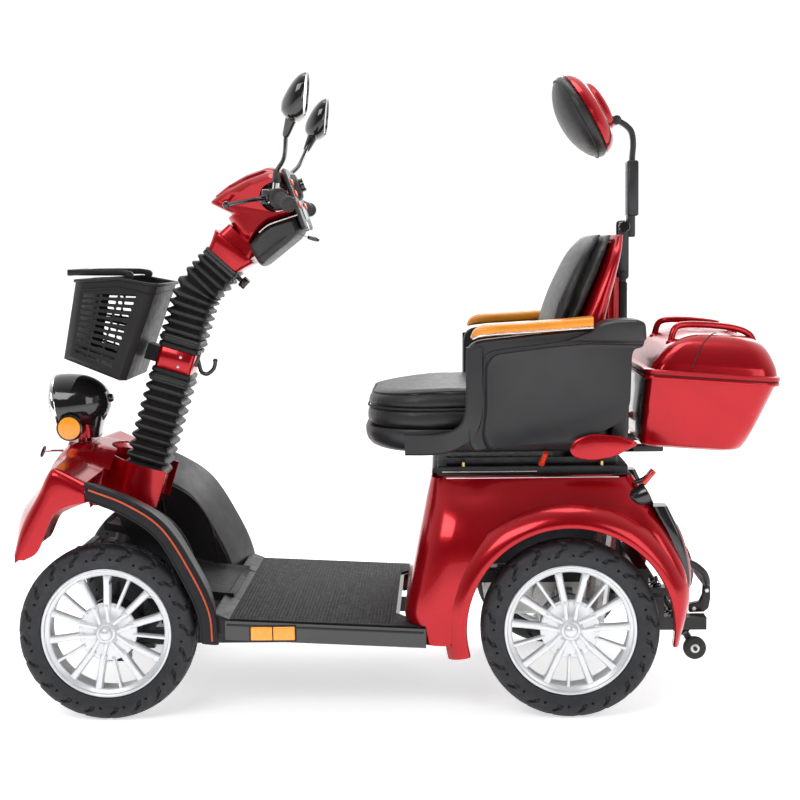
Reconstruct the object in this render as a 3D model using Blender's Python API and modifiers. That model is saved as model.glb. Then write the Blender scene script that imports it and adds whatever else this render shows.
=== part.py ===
"""Four-wheel mobility scooter with tiller steering, a bucket armchair, headrest and rear trunk.

Metres, +Z up. The front points to -X and the rider's left hand is on the -Y side.
The origin is on the ground under the middle of the scooter's bounding box.
"""

import math

import bmesh
import bpy
from mathutils import Matrix, Vector

# Driving dimensions.
WHEELBASE = 1.05
FRONT_AXLE_X = -0.65
REAR_AXLE_X = FRONT_AXLE_X + WHEELBASE
TRACK = 0.62
TYRE_RADIUS = 0.203
TYRE_HALF_WIDTH = 0.045
TYRE_SIDES = 32
AXLE_Z = TYRE_RADIUS * math.cos(math.pi / TYRE_SIDES)
RIM_RADIUS = 0.149
GAP = 0.0003
SKIN = 0.004

# Floor: a flat tray that falls slightly towards the rear.
FLOOR_FRONT_X = -0.3805
FLOOR_REAR_X = 0.012
FLOOR_HALF_WIDTH = 0.335
FLOOR_FRONT_Z = 0.232
FLOOR_FALL = 0.046

# Front fenders and cowl.
FENDER_OUTER_Y = 0.352
FENDER_INNER_Y = 0.156
SPLIT = (-0.686, 0.545)

HEADLIGHT_PIVOT = (-0.767, 0, 0.6105)

# Steering column: a leaning axis through the middle box.
COLUMN_LEAN = math.radians(17.5)
COLUMN_POINT = Vector((-0.529, 0, 0.798))
HEAD_LEAN = math.radians(42.5)
TILT_S = 0.170

# Seat.
HINGE_X = 0.100
HINGE_Z = 0.545
SEAT_HALF_WIDTH = 0.290
ARM_FRONT_X = 0.172
POST_X = 0.556

# Trunk.
TRUNK_CENTRE = Vector((0.739, 0, 0.755))
TRUNK_TILT = math.radians(4.5)

# Colours: base colour, roughness, metallic.
FINISHES = {
    "red_paint": ((0.42, 0.005, 0.012), 0.12, 0.35),
    "black_plastic": ((0.035, 0.033, 0.037), 0.45, 0.0),
    "grey_plastic": ((0.10, 0.10, 0.105), 0.50, 0.0),
    "rubber": ((0.018, 0.018, 0.018), 0.75, 0.0),
    "tyre_rubber": ((0.022, 0.022, 0.024), 0.70, 0.0),
    "leather": ((0.022, 0.020, 0.022), 0.42, 0.0),
    "alloy": ((0.74, 0.75, 0.76), 0.28, 1.0),
    "steel": ((0.045, 0.045, 0.048), 0.40, 0.6),
    "orange_pad": ((0.83, 0.36, 0.06), 0.35, 0.0),
    "glass": ((0.85, 0.90, 0.92), 0.05, 0.0),
    "orange_plastic": ((0.80, 0.09, 0.02), 0.35, 0.0),
    "battery": ((0.06, 0.07, 0.09), 0.55, 0.0),
}

for old in list(bpy.data.objects):
    bpy.data.objects.remove(old, do_unlink=True)

PARTS = bpy.data.collections.new("mobility_scooter")
bpy.context.scene.collection.children.link(PARTS)


# ---------------------------------------------------------------- helpers

def make_material(name):
    colour, roughness, metallic = FINISHES[name]
    made = bpy.data.materials.new(name)
    made.use_nodes = True
    shader = made.node_tree.nodes["Principled BSDF"]
    shader.inputs["Base Color"].default_value = (*colour, 1)
    shader.inputs["Roughness"].default_value = roughness
    shader.inputs["Metallic"].default_value = metallic
    return made


MATERIALS = {name: make_material(name) for name in FINISHES}


def keep(name, obj, finish, smooth_deg=35):
    """Name a finished piece, give it its material and shade it."""
    obj.name = name
    mesh = obj.data
    mesh.name = name
    mesh.materials.clear()
    mesh.materials.append(MATERIALS[finish])
    mesh.shade_smooth()
    mesh.set_sharp_from_angle(angle=math.radians(smooth_deg))
    return obj


def from_bmesh(bm):
    bmesh.ops.recalc_face_normals(bm, faces=bm.faces)
    mesh = bpy.data.meshes.new("piece")
    bm.to_mesh(mesh)
    bm.free()
    obj = bpy.data.objects.new("piece", mesh)
    PARTS.objects.link(obj)
    return obj


def baked(obj):
    """The object's evaluated shape as a plain mesh in world space; the original goes."""
    bpy.context.view_layer.update()
    graph = bpy.context.evaluated_depsgraph_get()
    mesh = bpy.data.meshes.new_from_object(obj.evaluated_get(graph))
    mesh.transform(obj.matrix_world)
    bm = bmesh.new()
    bm.from_mesh(mesh)
    bmesh.ops.remove_doubles(bm, verts=bm.verts, dist=1e-5)
    bpy.data.meshes.remove(mesh)
    bpy.data.objects.remove(obj, do_unlink=True)
    return from_bmesh(bm)


def box(low, high, bevel=0.0):
    bm = bmesh.new()
    bmesh.ops.create_cube(bm, size=1)
    size = [b - a for a, b in zip(low, high)]
    middle = [(a + b) / 2 for a, b in zip(low, high)]
    bmesh.ops.scale(bm, vec=size, verts=bm.verts)
    bmesh.ops.translate(bm, vec=middle, verts=bm.verts)
    obj = from_bmesh(bm)
    return bevelled(obj, bevel) if bevel else obj


def bevelled(obj, width, segments=2):
    bevel = obj.modifiers.new("Bevel", "BEVEL")
    bevel.width = width
    bevel.segments = segments
    bevel.limit_method = "ANGLE"
    return baked(obj)


def moved(obj, matrix):
    obj.data.transform(matrix)
    return obj


def rod(start, end, radius, end_radius=None, sides=16):
    """A cylinder or cone from start to end."""
    start, end = Vector(start), Vector(end)
    along = end - start
    turn = along.to_track_quat("Z", "X").to_matrix().to_4x4()
    bm = bmesh.new()
    bmesh.ops.create_cone(
        bm,
        cap_ends=True,
        segments=sides,
        radius1=radius,
        radius2=radius if end_radius is None else end_radius,
        depth=along.length,
        matrix=Matrix.Translation((start + end) / 2) @ turn,
    )
    return from_bmesh(bm)


def ball(centre, radius, sides=16, rings=10):
    bm = bmesh.new()
    bmesh.ops.create_uvsphere(
        bm, u_segments=sides, v_segments=rings, radius=radius, matrix=Matrix.Translation(centre)
    )
    return from_bmesh(bm)


def tube(points, radius, resolution=2):
    """A bent bar with round section and closed ends."""
    curve = bpy.data.curves.new("tube", "CURVE")
    curve.dimensions = "3D"
    curve.bevel_depth = radius
    curve.bevel_resolution = resolution
    curve.use_fill_caps = True
    spline = curve.splines.new("POLY")
    spline.points.add(len(points) - 1)
    for point, place in zip(spline.points, points):
        point.co = (*place, 1)
    obj = bpy.data.objects.new("tube", curve)
    PARTS.objects.link(obj)
    return baked(obj)


def plate(outline, low, high, plane="XZ"):
    """A flat outline as a solid between low and high on the third axis."""
    curve = bpy.data.curves.new("plate", "CURVE")
    curve.dimensions = "2D"
    curve.fill_mode = "BOTH"
    curve.extrude = (high - low) / 2
    spline = curve.splines.new("POLY")
    spline.points.add(len(outline) - 1)
    for point, (a, b) in zip(spline.points, outline):
        point.co = (a, b, 0, 1)
    spline.use_cyclic_u = True
    obj = bpy.data.objects.new("plate", curve)
    middle = (low + high) / 2
    if plane == "XZ":
        obj.matrix_world = Matrix.Translation((0, middle, 0)) @ Matrix.Rotation(math.pi / 2, 4, "X")
    else:
        obj.matrix_world = Matrix.Translation((0, 0, middle))
    PARTS.objects.link(obj)
    return baked(obj)


def turned(profile, sides, place, turn_start=0.0):
    """A closed (radius, height) profile turned about local Z, then placed."""
    bm = bmesh.new()
    corners = [bm.verts.new((r, 0, h)) for r, h in profile]
    for a, b in zip(corners, corners[1:] + corners[:1]):
        bm.edges.new((a, b))
    mesh = bpy.data.meshes.new("turned")
    bm.to_mesh(mesh)
    bm.free()
    mesh.transform(Matrix.Rotation(turn_start, 4, "Z"))
    obj = bpy.data.objects.new("turned", mesh)
    PARTS.objects.link(obj)
    screw = obj.modifiers.new("Screw", "SCREW")
    screw.steps = sides
    screw.render_steps = sides
    screw.use_merge_vertices = True
    screw.merge_threshold = 1e-5
    return moved(baked(obj), place)


def loft(rows, ring=True, caps=True):
    """A skin through rows of points; ring rows are closed loops."""
    bm = bmesh.new()
    grid = [[bm.verts.new(p) for p in row] for row in rows]
    count = len(rows[0])
    last = count if ring else count - 1
    for low, high in zip(grid, grid[1:]):
        for i in range(last):
            j = (i + 1) % count
            bm.faces.new((low[i], low[j], high[j], high[i]))
    if ring and caps:
        bm.faces.new(grid[0])
        bm.faces.new(grid[-1])
    return from_bmesh(bm)


def thickened(obj, thickness, offset=-1.0):
    solidify = obj.modifiers.new("Solidify", "SOLIDIFY")
    solidify.thickness = thickness
    solidify.offset = offset
    solidify.use_even_offset = True
    return baked(obj)


def fused(base, joined=(), cut=()):
    """Boolean union with the joined pieces, then difference with the cutters."""
    helpers = [(piece, "UNION") for piece in joined] + [(piece, "DIFFERENCE") for piece in cut]
    for helper, operation in helpers:
        boolean = base.modifiers.new(operation, "BOOLEAN")
        boolean.operation = operation
        boolean.solver = "EXACT"
        boolean.object = helper
    result = baked(base)
    for helper, _ in helpers:
        bpy.data.objects.remove(helper, do_unlink=True)
    return result


def mirrored(obj):
    """A copy of the piece on the other side of the XZ plane."""
    mesh = obj.data.copy()
    mesh.transform(Matrix.Scale(-1, 4, (0, 1, 0)))
    mesh.flip_normals()
    copy = bpy.data.objects.new("mirrored", mesh)
    PARTS.objects.link(copy)
    return copy


def smooth_line(points, steps):
    """Points along a Catmull-Rom curve through the given ones."""
    points = [Vector(p) for p in points]
    padded = [2 * points[0] - points[1]] + points + [2 * points[-1] - points[-2]]
    line = []
    for i in range(1, len(padded) - 2):
        p0, p1, p2, p3 = padded[i - 1 : i + 3]
        for k in range(steps):
            t = k / steps
            line.append(
                0.5
                * (
                    2 * p1
                    + (p2 - p0) * t
                    + (2 * p0 - 5 * p1 + 4 * p2 - p3) * t * t
                    + (3 * p1 - p0 - 3 * p2 + p3) * t * t * t
                )
            )
    line.append(points[-1])
    return line


def resampled(points, count):
    """The same line with evenly spaced points."""
    lengths = [0.0]
    for a, b in zip(points, points[1:]):
        lengths.append(lengths[-1] + (b - a).length)
    line = []
    for k in range(count):
        target = lengths[-1] * k / (count - 1)
        i = max(j for j in range(len(points) - 1) if lengths[j] <= target + 1e-12)
        t = (target - lengths[i]) / (lengths[i + 1] - lengths[i])
        line.append(points[i].lerp(points[i + 1], t))
    return line


def smoothstep(low, high, value):
    t = min(max((value - low) / (high - low), 0), 1)
    return t * t * (3 - 2 * t)


def rounded_rectangle(x0, x1, half, radii, corner_steps=3):
    """Loop in the XY plane; radii are (front, rear)."""
    loop = []
    corners = (
        (x0, -half, radii[0], 180),
        (x1, -half, radii[1], 270),
        (x1, half, radii[1], 0),
        (x0, half, radii[0], 90),
    )
    for x, y, radius, start in corners:
        cx = x + radius if x == x0 else x - radius
        cy = y + radius if y < 0 else y - radius
        for k in range(corner_steps + 1):
            angle = math.radians(start + 90 * k / corner_steps)
            loop.append((cx + radius * math.cos(angle), cy + radius * math.sin(angle)))
    return loop


def axle_matrix(x, y, side):
    """Local Z along the axle, pointing out of the scooter's side (-1 left, 1 right)."""
    return Matrix.Translation((x, y, AXLE_Z)) @ Matrix.Rotation(-side * math.pi / 2, 4, "X")


# ---------------------------------------------------------------- wheels

def tyre(x, side):
    w = TYRE_HALF_WIDTH
    inner = (RIM_RADIUS + GAP) / math.cos(math.pi / TYRE_SIDES)
    profile = [
        (inner, -0.8 * w),
        (TYRE_RADIUS - 0.030, -w),
        (TYRE_RADIUS - 0.010, -0.86 * w),
        (TYRE_RADIUS, -0.45 * w),
        (TYRE_RADIUS, 0.45 * w),
        (TYRE_RADIUS - 0.010, 0.86 * w),
        (TYRE_RADIUS - 0.030, w),
        (inner, 0.8 * w),
    ]
    half_step = math.pi / TYRE_SIDES
    return turned(profile, TYRE_SIDES, axle_matrix(x, side * TRACK / 2, side), half_step)


RIM_HALF_WIDTH = 0.036
HUB_BORE = 0.0105
AXLE_ROD = 0.010
RIM_SPOKES = 5


def rim(x, side):
    ring = turned(
        [(0.136, -RIM_HALF_WIDTH), (RIM_RADIUS, -RIM_HALF_WIDTH), (RIM_RADIUS, RIM_HALF_WIDTH),
         (0.136, RIM_HALF_WIDTH)],
        24, Matrix.Identity(4),
    )
    disc = rod((0, 0, 0.010), (0, 0, 0.024), 0.066, sides=24)
    hub = rod((0, 0, -0.030), (0, 0, 0.040), 0.026, sides=16)
    dome = rod((0, 0, 0.036), (0, 0, 0.050), 0.018, 0.012, sides=12)
    spokes = []
    for i in range(RIM_SPOKES):
        for offset_deg, half in ((-13, 0.008), (13, 0.008), (36, 0.004)):
            spoke = box((0.055, -half, 0.012), (0.140, half, 0.026))
            angle = math.radians(90 + 360 * i / RIM_SPOKES + offset_deg)
            spokes.append(moved(spoke, Matrix.Rotation(angle, 4, "Z")))
    bore = rod((0, 0, -0.05), (0, 0, 0.031), HUB_BORE, sides=16)
    wheel = fused(ring, [disc, hub, dome, *spokes], [bore])
    return moved(wheel, axle_matrix(x, side * TRACK / 2, side))


def stub_axle(x, side, inner_y):
    outer = TRACK / 2 + 0.029
    return rod((x, side * inner_y, AXLE_Z), (x, side * outer, AXLE_Z), AXLE_ROD, sides=12)


KINGPIN_Y = 0.236


def knuckle(side):
    x, y = FRONT_AXLE_X, side * KINGPIN_Y
    kingpin = rod((x, y, 0.130), (x, y, 0.300), 0.013, sides=12)
    axle = stub_axle(x, side, KINGPIN_Y - 0.005)
    carrier = box((x - 0.022, y - 0.018, AXLE_Z - 0.035), (x + 0.022, y + 0.018, AXLE_Z + 0.035), 0.005)
    arm = box((x, y - 0.010, 0.140), (x + 0.090, y + 0.010, 0.150))
    drum_y = sorted((side * (TRACK / 2 - 0.052), side * (TRACK / 2 - 0.034)))
    drum = rod((x, drum_y[0], AXLE_Z), (x, drum_y[1], AXLE_Z), 0.066, sides=20)
    return fused(kingpin, [axle, carrier, arm, drum])


def rear_transaxle():
    x = REAR_AXLE_X
    reach = TRACK / 2 - 0.034
    housing = rod((x, -reach + 0.01, AXLE_Z), (x, reach - 0.01, AXLE_Z), 0.026, sides=16)
    pieces = [
        rod((x, -0.050, AXLE_Z), (x, 0.060, AXLE_Z), 0.068, sides=20),
        rod((x - 0.130, 0.025, AXLE_Z), (x - 0.130, 0.200, AXLE_Z), 0.056, sides=20),
        box((x - 0.140, -0.020, AXLE_Z - 0.045), (x, 0.045, AXLE_Z + 0.045), 0.008),
    ]
    for side in (-1, 1):
        ends = sorted((side * (reach - 0.018), side * reach))
        pieces.append(rod((x, ends[0], AXLE_Z), (x, ends[1], AXLE_Z), 0.066, sides=20))
        pieces.append(stub_axle(x, side, 0.2))
        low, high = sorted((side * 0.145, side * 0.175))
        pieces.append(box((x - 0.020, low, AXLE_Z), (x + 0.020, high, AXLE_Z + 0.052)))
        pieces.append(rod((x + 0.07, side * 0.19, AXLE_Z), (x + 0.10, side * 0.19, 0.430), 0.027, sides=14))
        low, high = sorted((side * 0.16, side * 0.21))
        pieces.append(box((x, low, AXLE_Z - 0.018), (x + 0.09, high, AXLE_Z + 0.018)))
    return fused(housing, pieces)


# ---------------------------------------------------------------- frame, floor, body

RAIL_Y = 0.145
RAIL_Z = (0.128, 0.160)


def column_axis(s, across=0.0, side=0.0):
    """World point s metres up the column axis, across metres to the rear, side metres to +Y."""
    up = Vector((math.sin(COLUMN_LEAN), 0, math.cos(COLUMN_LEAN)))
    back = Vector((math.cos(COLUMN_LEAN), 0, -math.sin(COLUMN_LEAN)))
    return COLUMN_POINT + s * up + across * back + Vector((0, side, 0))


def column_s(z):
    return (z - COLUMN_POINT.z) / math.cos(COLUMN_LEAN)


def column_matrix(s):
    return Matrix.Translation(column_axis(s)) @ Matrix.Rotation(COLUMN_LEAN, 4, "Y")


def column_box(s0, s1, depth, width, bevel=0.0):
    piece = box((-depth / 2, -width / 2, s0), (depth / 2, width / 2, s1), bevel)
    return moved(piece, column_matrix(0))


HEAD_TUBE_S = (column_s(0.330), column_s(0.425))


def chassis_frame():
    pieces = []
    for side in (-1, 1):
        low, high = sorted((side * (RAIL_Y - 0.015), side * (RAIL_Y + 0.015)))
        pieces.append(box((-0.60, low, RAIL_Z[0]), (0.10, high, RAIL_Z[1])))
        pieces.append(box((0.07, low, RAIL_Z[0]), (0.14, high, 0.300)))
        pieces.append(box((0.07, low, 0.270), (0.60, high, 0.300)))
        pieces.append(box((0.56, low, 0.150), (0.60, high, 0.300)))
        low, high = sorted((side * 0.130, side * 0.170))
        pieces.append(box((0.56, low, 0.155), (0.735, high, 0.185)))
        pieces.append(tube([(0.62, side * 0.15, 0.215), (0.640, side * 0.15, 0.225),
                            (0.707, side * 0.15, 0.112)], 0.009))
        pieces.append(rod((0.707, side * 0.145, 0.112), (0.707, side * 0.184, 0.112), 0.005, sides=12))
        pieces.append(box((0.60, low, 0.175), (0.635, high, 0.235)))
        y = side * (KINGPIN_Y - 0.020)
        pieces.append(rod((FRONT_AXLE_X - 0.01, 0, 0.325), (FRONT_AXLE_X - 0.01, side * 0.222, 0.325),
                          0.014, sides=10))
        low, high = sorted((y, side * (KINGPIN_Y + 0.020)))
        pieces.append(box((FRONT_AXLE_X - 0.030, low, 0.3015), (FRONT_AXLE_X + 0.030, high, 0.335)))
        pieces.append(box((FRONT_AXLE_X - 0.030, low, 0.112), (FRONT_AXLE_X + 0.030, high, 0.1285)))
    front_beam = box((FRONT_AXLE_X - 0.020, -0.222, 0.112), (FRONT_AXLE_X + 0.020, 0.222, 0.138))
    pieces.append(box((-0.670, -0.160, 0.128), (-0.580, 0.160, 0.160)))
    pieces.append(box((-0.10, -0.15, 0.130), (-0.06, 0.15, 0.158)))
    pieces.append(box((0.07, -0.15, 0.275), (0.10, 0.15, 0.300)))
    pieces.append(box((0.57, -0.16, 0.270), (0.60, 0.16, 0.300)))
    pieces.append(box((0.57, -0.16, 0.155), (0.60, 0.16, 0.185)))
    head_low = column_axis(HEAD_TUBE_S[0] - 0.02)
    head_high = column_axis(HEAD_TUBE_S[1])
    pieces.append(rod(head_low, head_high, 0.030, sides=16))
    pieces.append(box((-0.72, -0.025, 0.128), (-0.63, 0.025, 0.350)))
    pieces.append(box((-0.80, -0.020, 0.300), (-0.68, 0.020, 0.330)))
    pieces.append(tube([(-0.79, -0.17, 0.315), (-0.79, 0.17, 0.315)], 0.012))
    socket = rod(column_axis(HEAD_TUBE_S[0]), column_axis(HEAD_TUBE_S[1] + 0.02), 0.0205, sides=16)
    return fused(front_beam, pieces, [socket])


def floor_slope(x):
    share = (x - FLOOR_FRONT_X) / (0.09 - FLOOR_FRONT_X)
    return FLOOR_FRONT_Z - 0.5 * FLOOR_FALL * share


def floor_outline(inset):
    """Plan of the footboard: square at the front, waisted round the seat body at the rear."""
    half = FLOOR_HALF_WIDTH - inset
    front = FLOOR_FRONT_X + inset
    right = [(FLOOR_REAR_X - inset, 0.205 + inset), (0.058 - inset, 0.270 + inset), (0.075 - inset, half),
             (front, half)]
    return [(x, -y) for x, y in reversed(right)] + right


def sloped(obj):
    """Lean a flat piece made at FLOOR_FRONT_Z down towards the rear."""
    shear = Matrix.Identity(4)
    slope = -0.5 * FLOOR_FALL / (0.09 - FLOOR_FRONT_X)
    shear[2][0] = slope
    shear[2][3] = -slope * FLOOR_FRONT_X
    return moved(obj, shear)


def floor_pan():
    top = FLOOR_FRONT_Z - 0.005
    tray = plate(floor_outline(0), top - 0.044, top, plane="XY")
    hollow = plate(floor_outline(0.006), top - 0.060, top - 0.006, plane="XY")
    return sloped(fused(tray, cut=[hollow]))


def mat_outline():
    """Plan of the rubber mat, which stops short of the seat body's rounded foot."""
    inset = 0.008
    half = FLOOR_HALF_WIDTH - inset
    rear = FLOOR_REAR_X - inset
    right = [(rear, 0.236), (0.016, 0.262), (0.022, 0.290), (0.036, 0.316), (0.050, half),
             (FLOOR_FRONT_X + inset, half)]
    return [(x, -y) for x, y in reversed(right)] + right


def floor_mat():
    top = FLOOR_FRONT_Z
    return sloped(plate(mat_outline(), top - 0.005 + GAP, top, plane="XY"))


def crown_line():
    """Outer top edge of the black front fender, from the split to its foot."""
    return smooth_line(
        [(SPLIT[0], 0, SPLIT[1]), (-0.590, 0, 0.507), (-0.509, 0, 0.450), (-0.444, 0, 0.346),
         (-0.405, 0, 0.254), (-0.398, 0, 0.175)], 6,
    )


AXLE_CENTRE = Vector((FRONT_AXLE_X, 0, AXLE_Z))


def fender_section(point, share):
    """Cross-section of the fender at a crown point: outer lip, crown, top and inner edge."""
    out = (point - AXLE_CENTRE).normalized()
    fall = 0.038 - 0.008 * share
    lip = 0.042
    rows = (
        (FENDER_OUTER_Y, -lip),
        (FENDER_OUTER_Y, -0.010),
        (FENDER_OUTER_Y - 0.012, 0.0),
        (0.5 * (FENDER_OUTER_Y + FENDER_INNER_Y), -0.4 * fall),
        (FENDER_INNER_Y + 0.014, -0.9 * fall),
        (FENDER_INNER_Y, -fall - 0.006),
        (FENDER_INNER_Y, -fall - 0.020),
    )
    return [point + out * offset + Vector((0, -y, 0)) for y, offset in rows]


def left_fender():
    line = resampled(crown_line(), 14)
    rows = [fender_section(p, i / (len(line) - 1)) for i, p in enumerate(line)]
    strip = thickened(loft(rows, ring=False), SKIN)
    wall_top = [(row[5].x, row[5].z) for row in rows]
    wall = plate(
        wall_top + [(-0.56, 0.175), (-0.590, 0.320), (-0.640, 0.400)],
        -FENDER_INNER_Y - 0.0005, -FENDER_INNER_Y + SKIN - 0.0005,
    )
    ahead = box((-0.80, -0.40, 0.40), (SPLIT[0], -0.10, 0.65))
    return fused(strip, [wall], [ahead])


def cowl_profiles():
    """Side profiles of the cowl at its middle, its outer crown and its wheel-arch edge."""
    middle = [(-0.672, 0.587), (-0.730, 0.598), (-0.785, 0.600), (-0.822, 0.562), (-0.845, 0.512),
              (-0.868, 0.485), (-0.887, 0.455), (-0.8945, 0.405), (-0.886, 0.345)]
    crown = [(SPLIT[0] - GAP, SPLIT[1]), (-0.712, 0.560), (-0.738, 0.574), (-0.757, 0.580), (-0.770, 0.562),
             (-0.784, 0.530), (-0.808, 0.487), (-0.830, 0.447), (-0.848, 0.402)]
    arch = [(-0.672, 0.503), (-0.695, 0.502), (-0.718, 0.498), (-0.740, 0.490), (-0.757, 0.476),
            (-0.771, 0.452), (-0.786, 0.420), (-0.804, 0.399), (-0.828, 0.388)]
    return middle, crown, arch


def cowl_rows():
    middle, crown, arch = cowl_profiles()
    rows = []
    for y in (0.0, 0.045, 0.085, 0.125, 0.165, 0.220, 0.285, 0.336):
        sweep = (y / FENDER_OUTER_Y) ** 2.4
        drop = smoothstep(0.060, 0.175, y)
        rows.append([
            (m[0] + (c[0] - m[0]) * sweep, -y, m[1] + (c[1] - m[1]) * drop)
            for m, c in zip(middle, crown)
        ])
    rows.append([(c[0], -FENDER_OUTER_Y, c[1] - 0.012) for c in crown])
    rows.append([(a[0], -FENDER_OUTER_Y, a[1]) for a in arch])
    return rows


def front_cowl():
    skin = loft(cowl_rows(), ring=False)
    mirror = skin.modifiers.new("Mirror", "MIRROR")
    mirror.use_axis = (False, True, False)
    mirror.merge_threshold = 1e-5
    skin = thickened(baked(skin), SKIN)
    notch = moved(rod((0, 0, column_s(0.30)), (0, 0, column_s(0.70)), 0.100, sides=24), column_matrix(0))
    neck = box((-0.789, -0.036, 0.570), (-0.745, 0.036, 0.5985), 0.008)
    ears = []
    for side in (-1, 1):
        low, high = sorted((side * 0.0235, side * 0.0335))
        ears.append(box((-0.776, low, 0.590), (-0.758, high, 0.6172), 0.003))
    ears.append(rod((HEADLIGHT_PIVOT[0], -0.030, HEADLIGHT_PIVOT[2]),
                    (HEADLIGHT_PIVOT[0], 0.030, HEADLIGHT_PIVOT[2]), 0.004, sides=12))
    behind = [box((SPLIT[0] - GAP, -0.4, 0.40), (-0.60, -0.150, 0.65)),
              box((SPLIT[0] - GAP, 0.150, 0.40), (-0.60, 0.4, 0.65))]
    return fused(skin, [neck, *ears], [notch, *behind])


def leg_shield():
    """Black cover between the fenders, behind the column, from the footboard up to the cowl."""
    top = [(-0.386, 0.234), (-0.440, 0.262), (-0.500, 0.330), (-0.545, 0.395), (-0.600, 0.430),
           (-0.680, 0.445)]
    under = [(x - 0.003, z - 0.006) for x, z in reversed(top)]
    width = FENDER_INNER_Y - SKIN - GAP
    cover = plate(top + under, -width, width)
    hole = moved(rod((0, 0, column_s(0.30)), (0, 0, column_s(0.60)), 0.040, sides=16), column_matrix(0))
    return fused(cover, cut=[hole])


BODY_LEVELS = (
    # z, front x, rear x, half width, front corner radius, rear corner radius
    (0.160, 0.050, 0.640, 0.340, 0.070, 0.020),
    (0.225, 0.026, 0.662, 0.340, 0.080, 0.025),
    (0.320, 0.044, 0.663, 0.338, 0.080, 0.030),
    (0.400, 0.060, 0.630, 0.328, 0.080, 0.035),
    (0.460, 0.073, 0.598, 0.300, 0.075, 0.040),
    (0.505, 0.083, 0.572, 0.262, 0.060, 0.040),
    (0.532, 0.090, 0.555, 0.238, 0.045, 0.035),
)


def rear_body():
    rows = []
    for z, front, rear, half, r_front, r_rear in BODY_LEVELS:
        rows.append([(x, y, z) for x, y in rounded_rectangle(front, rear, half, (r_front, r_rear))])
    skin = thickened(loft(rows, caps=False), SKIN)
    joined = []
    for side in (-1, 1):
        low = 0.318
        lip = turned(
            [(0.232, low), (0.268, low), (0.268, 0.346), (0.250, 0.354), (0.232, 0.354)],
            40, axle_matrix(REAR_AXLE_X, 0, side),
        )
        joined.append(lip)
    arches = [
        rod((REAR_AXLE_X, side * 0.20, AXLE_Z), (REAR_AXLE_X, side * 0.40, AXLE_Z), 0.2325, sides=40)
        for side in (-1, 1)
    ]
    below = box((0.13, -0.5, -0.2), (0.9, 0.5, 0.172))
    tail = moved(box((0.46, -0.5, -0.3), (1.1, 0.5, 0.0)), Matrix.Translation((0, 0, 0.262)))
    floor = sloped(plate(floor_outline(-0.0006), 0.10, FLOOR_FRONT_Z + 0.0006, plane="XY"))
    return fused(skin, joined, [*arches, below, tail, floor])


def battery_pack():
    return box((0.14, -0.125, 0.305), (0.54, 0.125, 0.470), 0.008)


def rear_bumper():
    hoop = tube(
        [(0.675, -0.150, 0.312), (0.705, -0.150, 0.308), (0.732, -0.145, 0.285), (0.743, -0.125, 0.255),
         (0.743, 0.125, 0.255), (0.732, 0.145, 0.285), (0.705, 0.150, 0.308), (0.675, 0.150, 0.312)], 0.0085,
    )
    pieces = []
    for side in (-1, 1):
        low, high = sorted((side * 0.110, side * 0.128))
        pieces.append(box((0.700, low, 0.1855), (0.745, high, 0.256)))
        low, high = sorted((side * 0.140, side * 0.160))
        pieces.append(box((0.668, low, 0.302), (0.690, high, 0.322)))
    return fused(hoop, pieces)


def headlight_place():
    return Matrix.Translation((-0.790, 0, 0.690)) @ Matrix.Rotation(math.radians(-99), 4, "Y")


def headlight_shell():
    """Egg-shaped bucket with its rim forward, on a short neck."""
    profile = [(0.0, -0.088), (0.022, -0.086), (0.046, -0.070), (0.064, -0.044), (0.074, -0.012),
               (0.078, 0.030),
               (0.074, 0.030), (0.070, -0.010), (0.058, -0.042), (0.038, -0.066), (0.0, -0.078)]
    bucket = turned(profile, 28, headlight_place())
    knob = rod((-0.712, 0, 0.700), (-0.680, 0, 0.706), 0.008, sides=10)
    x, _, z = HEADLIGHT_PIVOT
    skirt = box((x - 0.0095, -0.0225, z), (x + 0.0105, 0.0225, 0.665), 0.003)
    barrel = rod((x, -0.0220, z), (x, 0.0220, z), 0.0110, sides=16)
    pin_hole = rod((x, -0.04, z), (x, 0.04, z), 0.0043, sides=12)
    inside = ball((-0.790, 0, 0.690), 0.060)
    return fused(bucket, [knob, skirt, barrel], [inside, pin_hole])


def headlight_lens():
    profile = [(0.0, 0.054), (0.030, 0.052), (0.056, 0.044), (0.076, 0.032), (0.079, 0.0303), (0.0, 0.0303)]
    return turned(profile, 28, headlight_place())


# ---------------------------------------------------------------- steering column

LOWER_BOX_S = (-0.366, -0.288)
MIDDLE_BOX_S = (-0.038, 0.038)
BELLOWS_DEPTH = 0.106
BELLOWS_WIDTH = 0.128
BELLOWS_PLEATS = 6
SHAFT_RADIUS = 0.018
SHAFT_HOLE = 0.030
TILT_PIVOT = column_axis(TILT_S)
COLUMN_UP = Vector((math.sin(COLUMN_LEAN), 0, math.cos(COLUMN_LEAN)))
HEAD_UP = Vector((math.sin(HEAD_LEAN), 0, math.cos(HEAD_LEAN)))
HEAD_BACK = Vector((math.cos(HEAD_LEAN), 0, -math.sin(HEAD_LEAN)))
COLLAR_T = (0.088, 0.100)
TAPER_T = (0.1003, 0.151)


def head_axis(t, across=0.0, side=0.0):
    """World point t metres up the tiller head's axis from the tilt pivot."""
    return TILT_PIVOT + t * HEAD_UP + across * HEAD_BACK + Vector((0, side, 0))


def head_matrix():
    return Matrix.Translation(TILT_PIVOT) @ Matrix.Rotation(HEAD_LEAN, 4, "Y")


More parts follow.
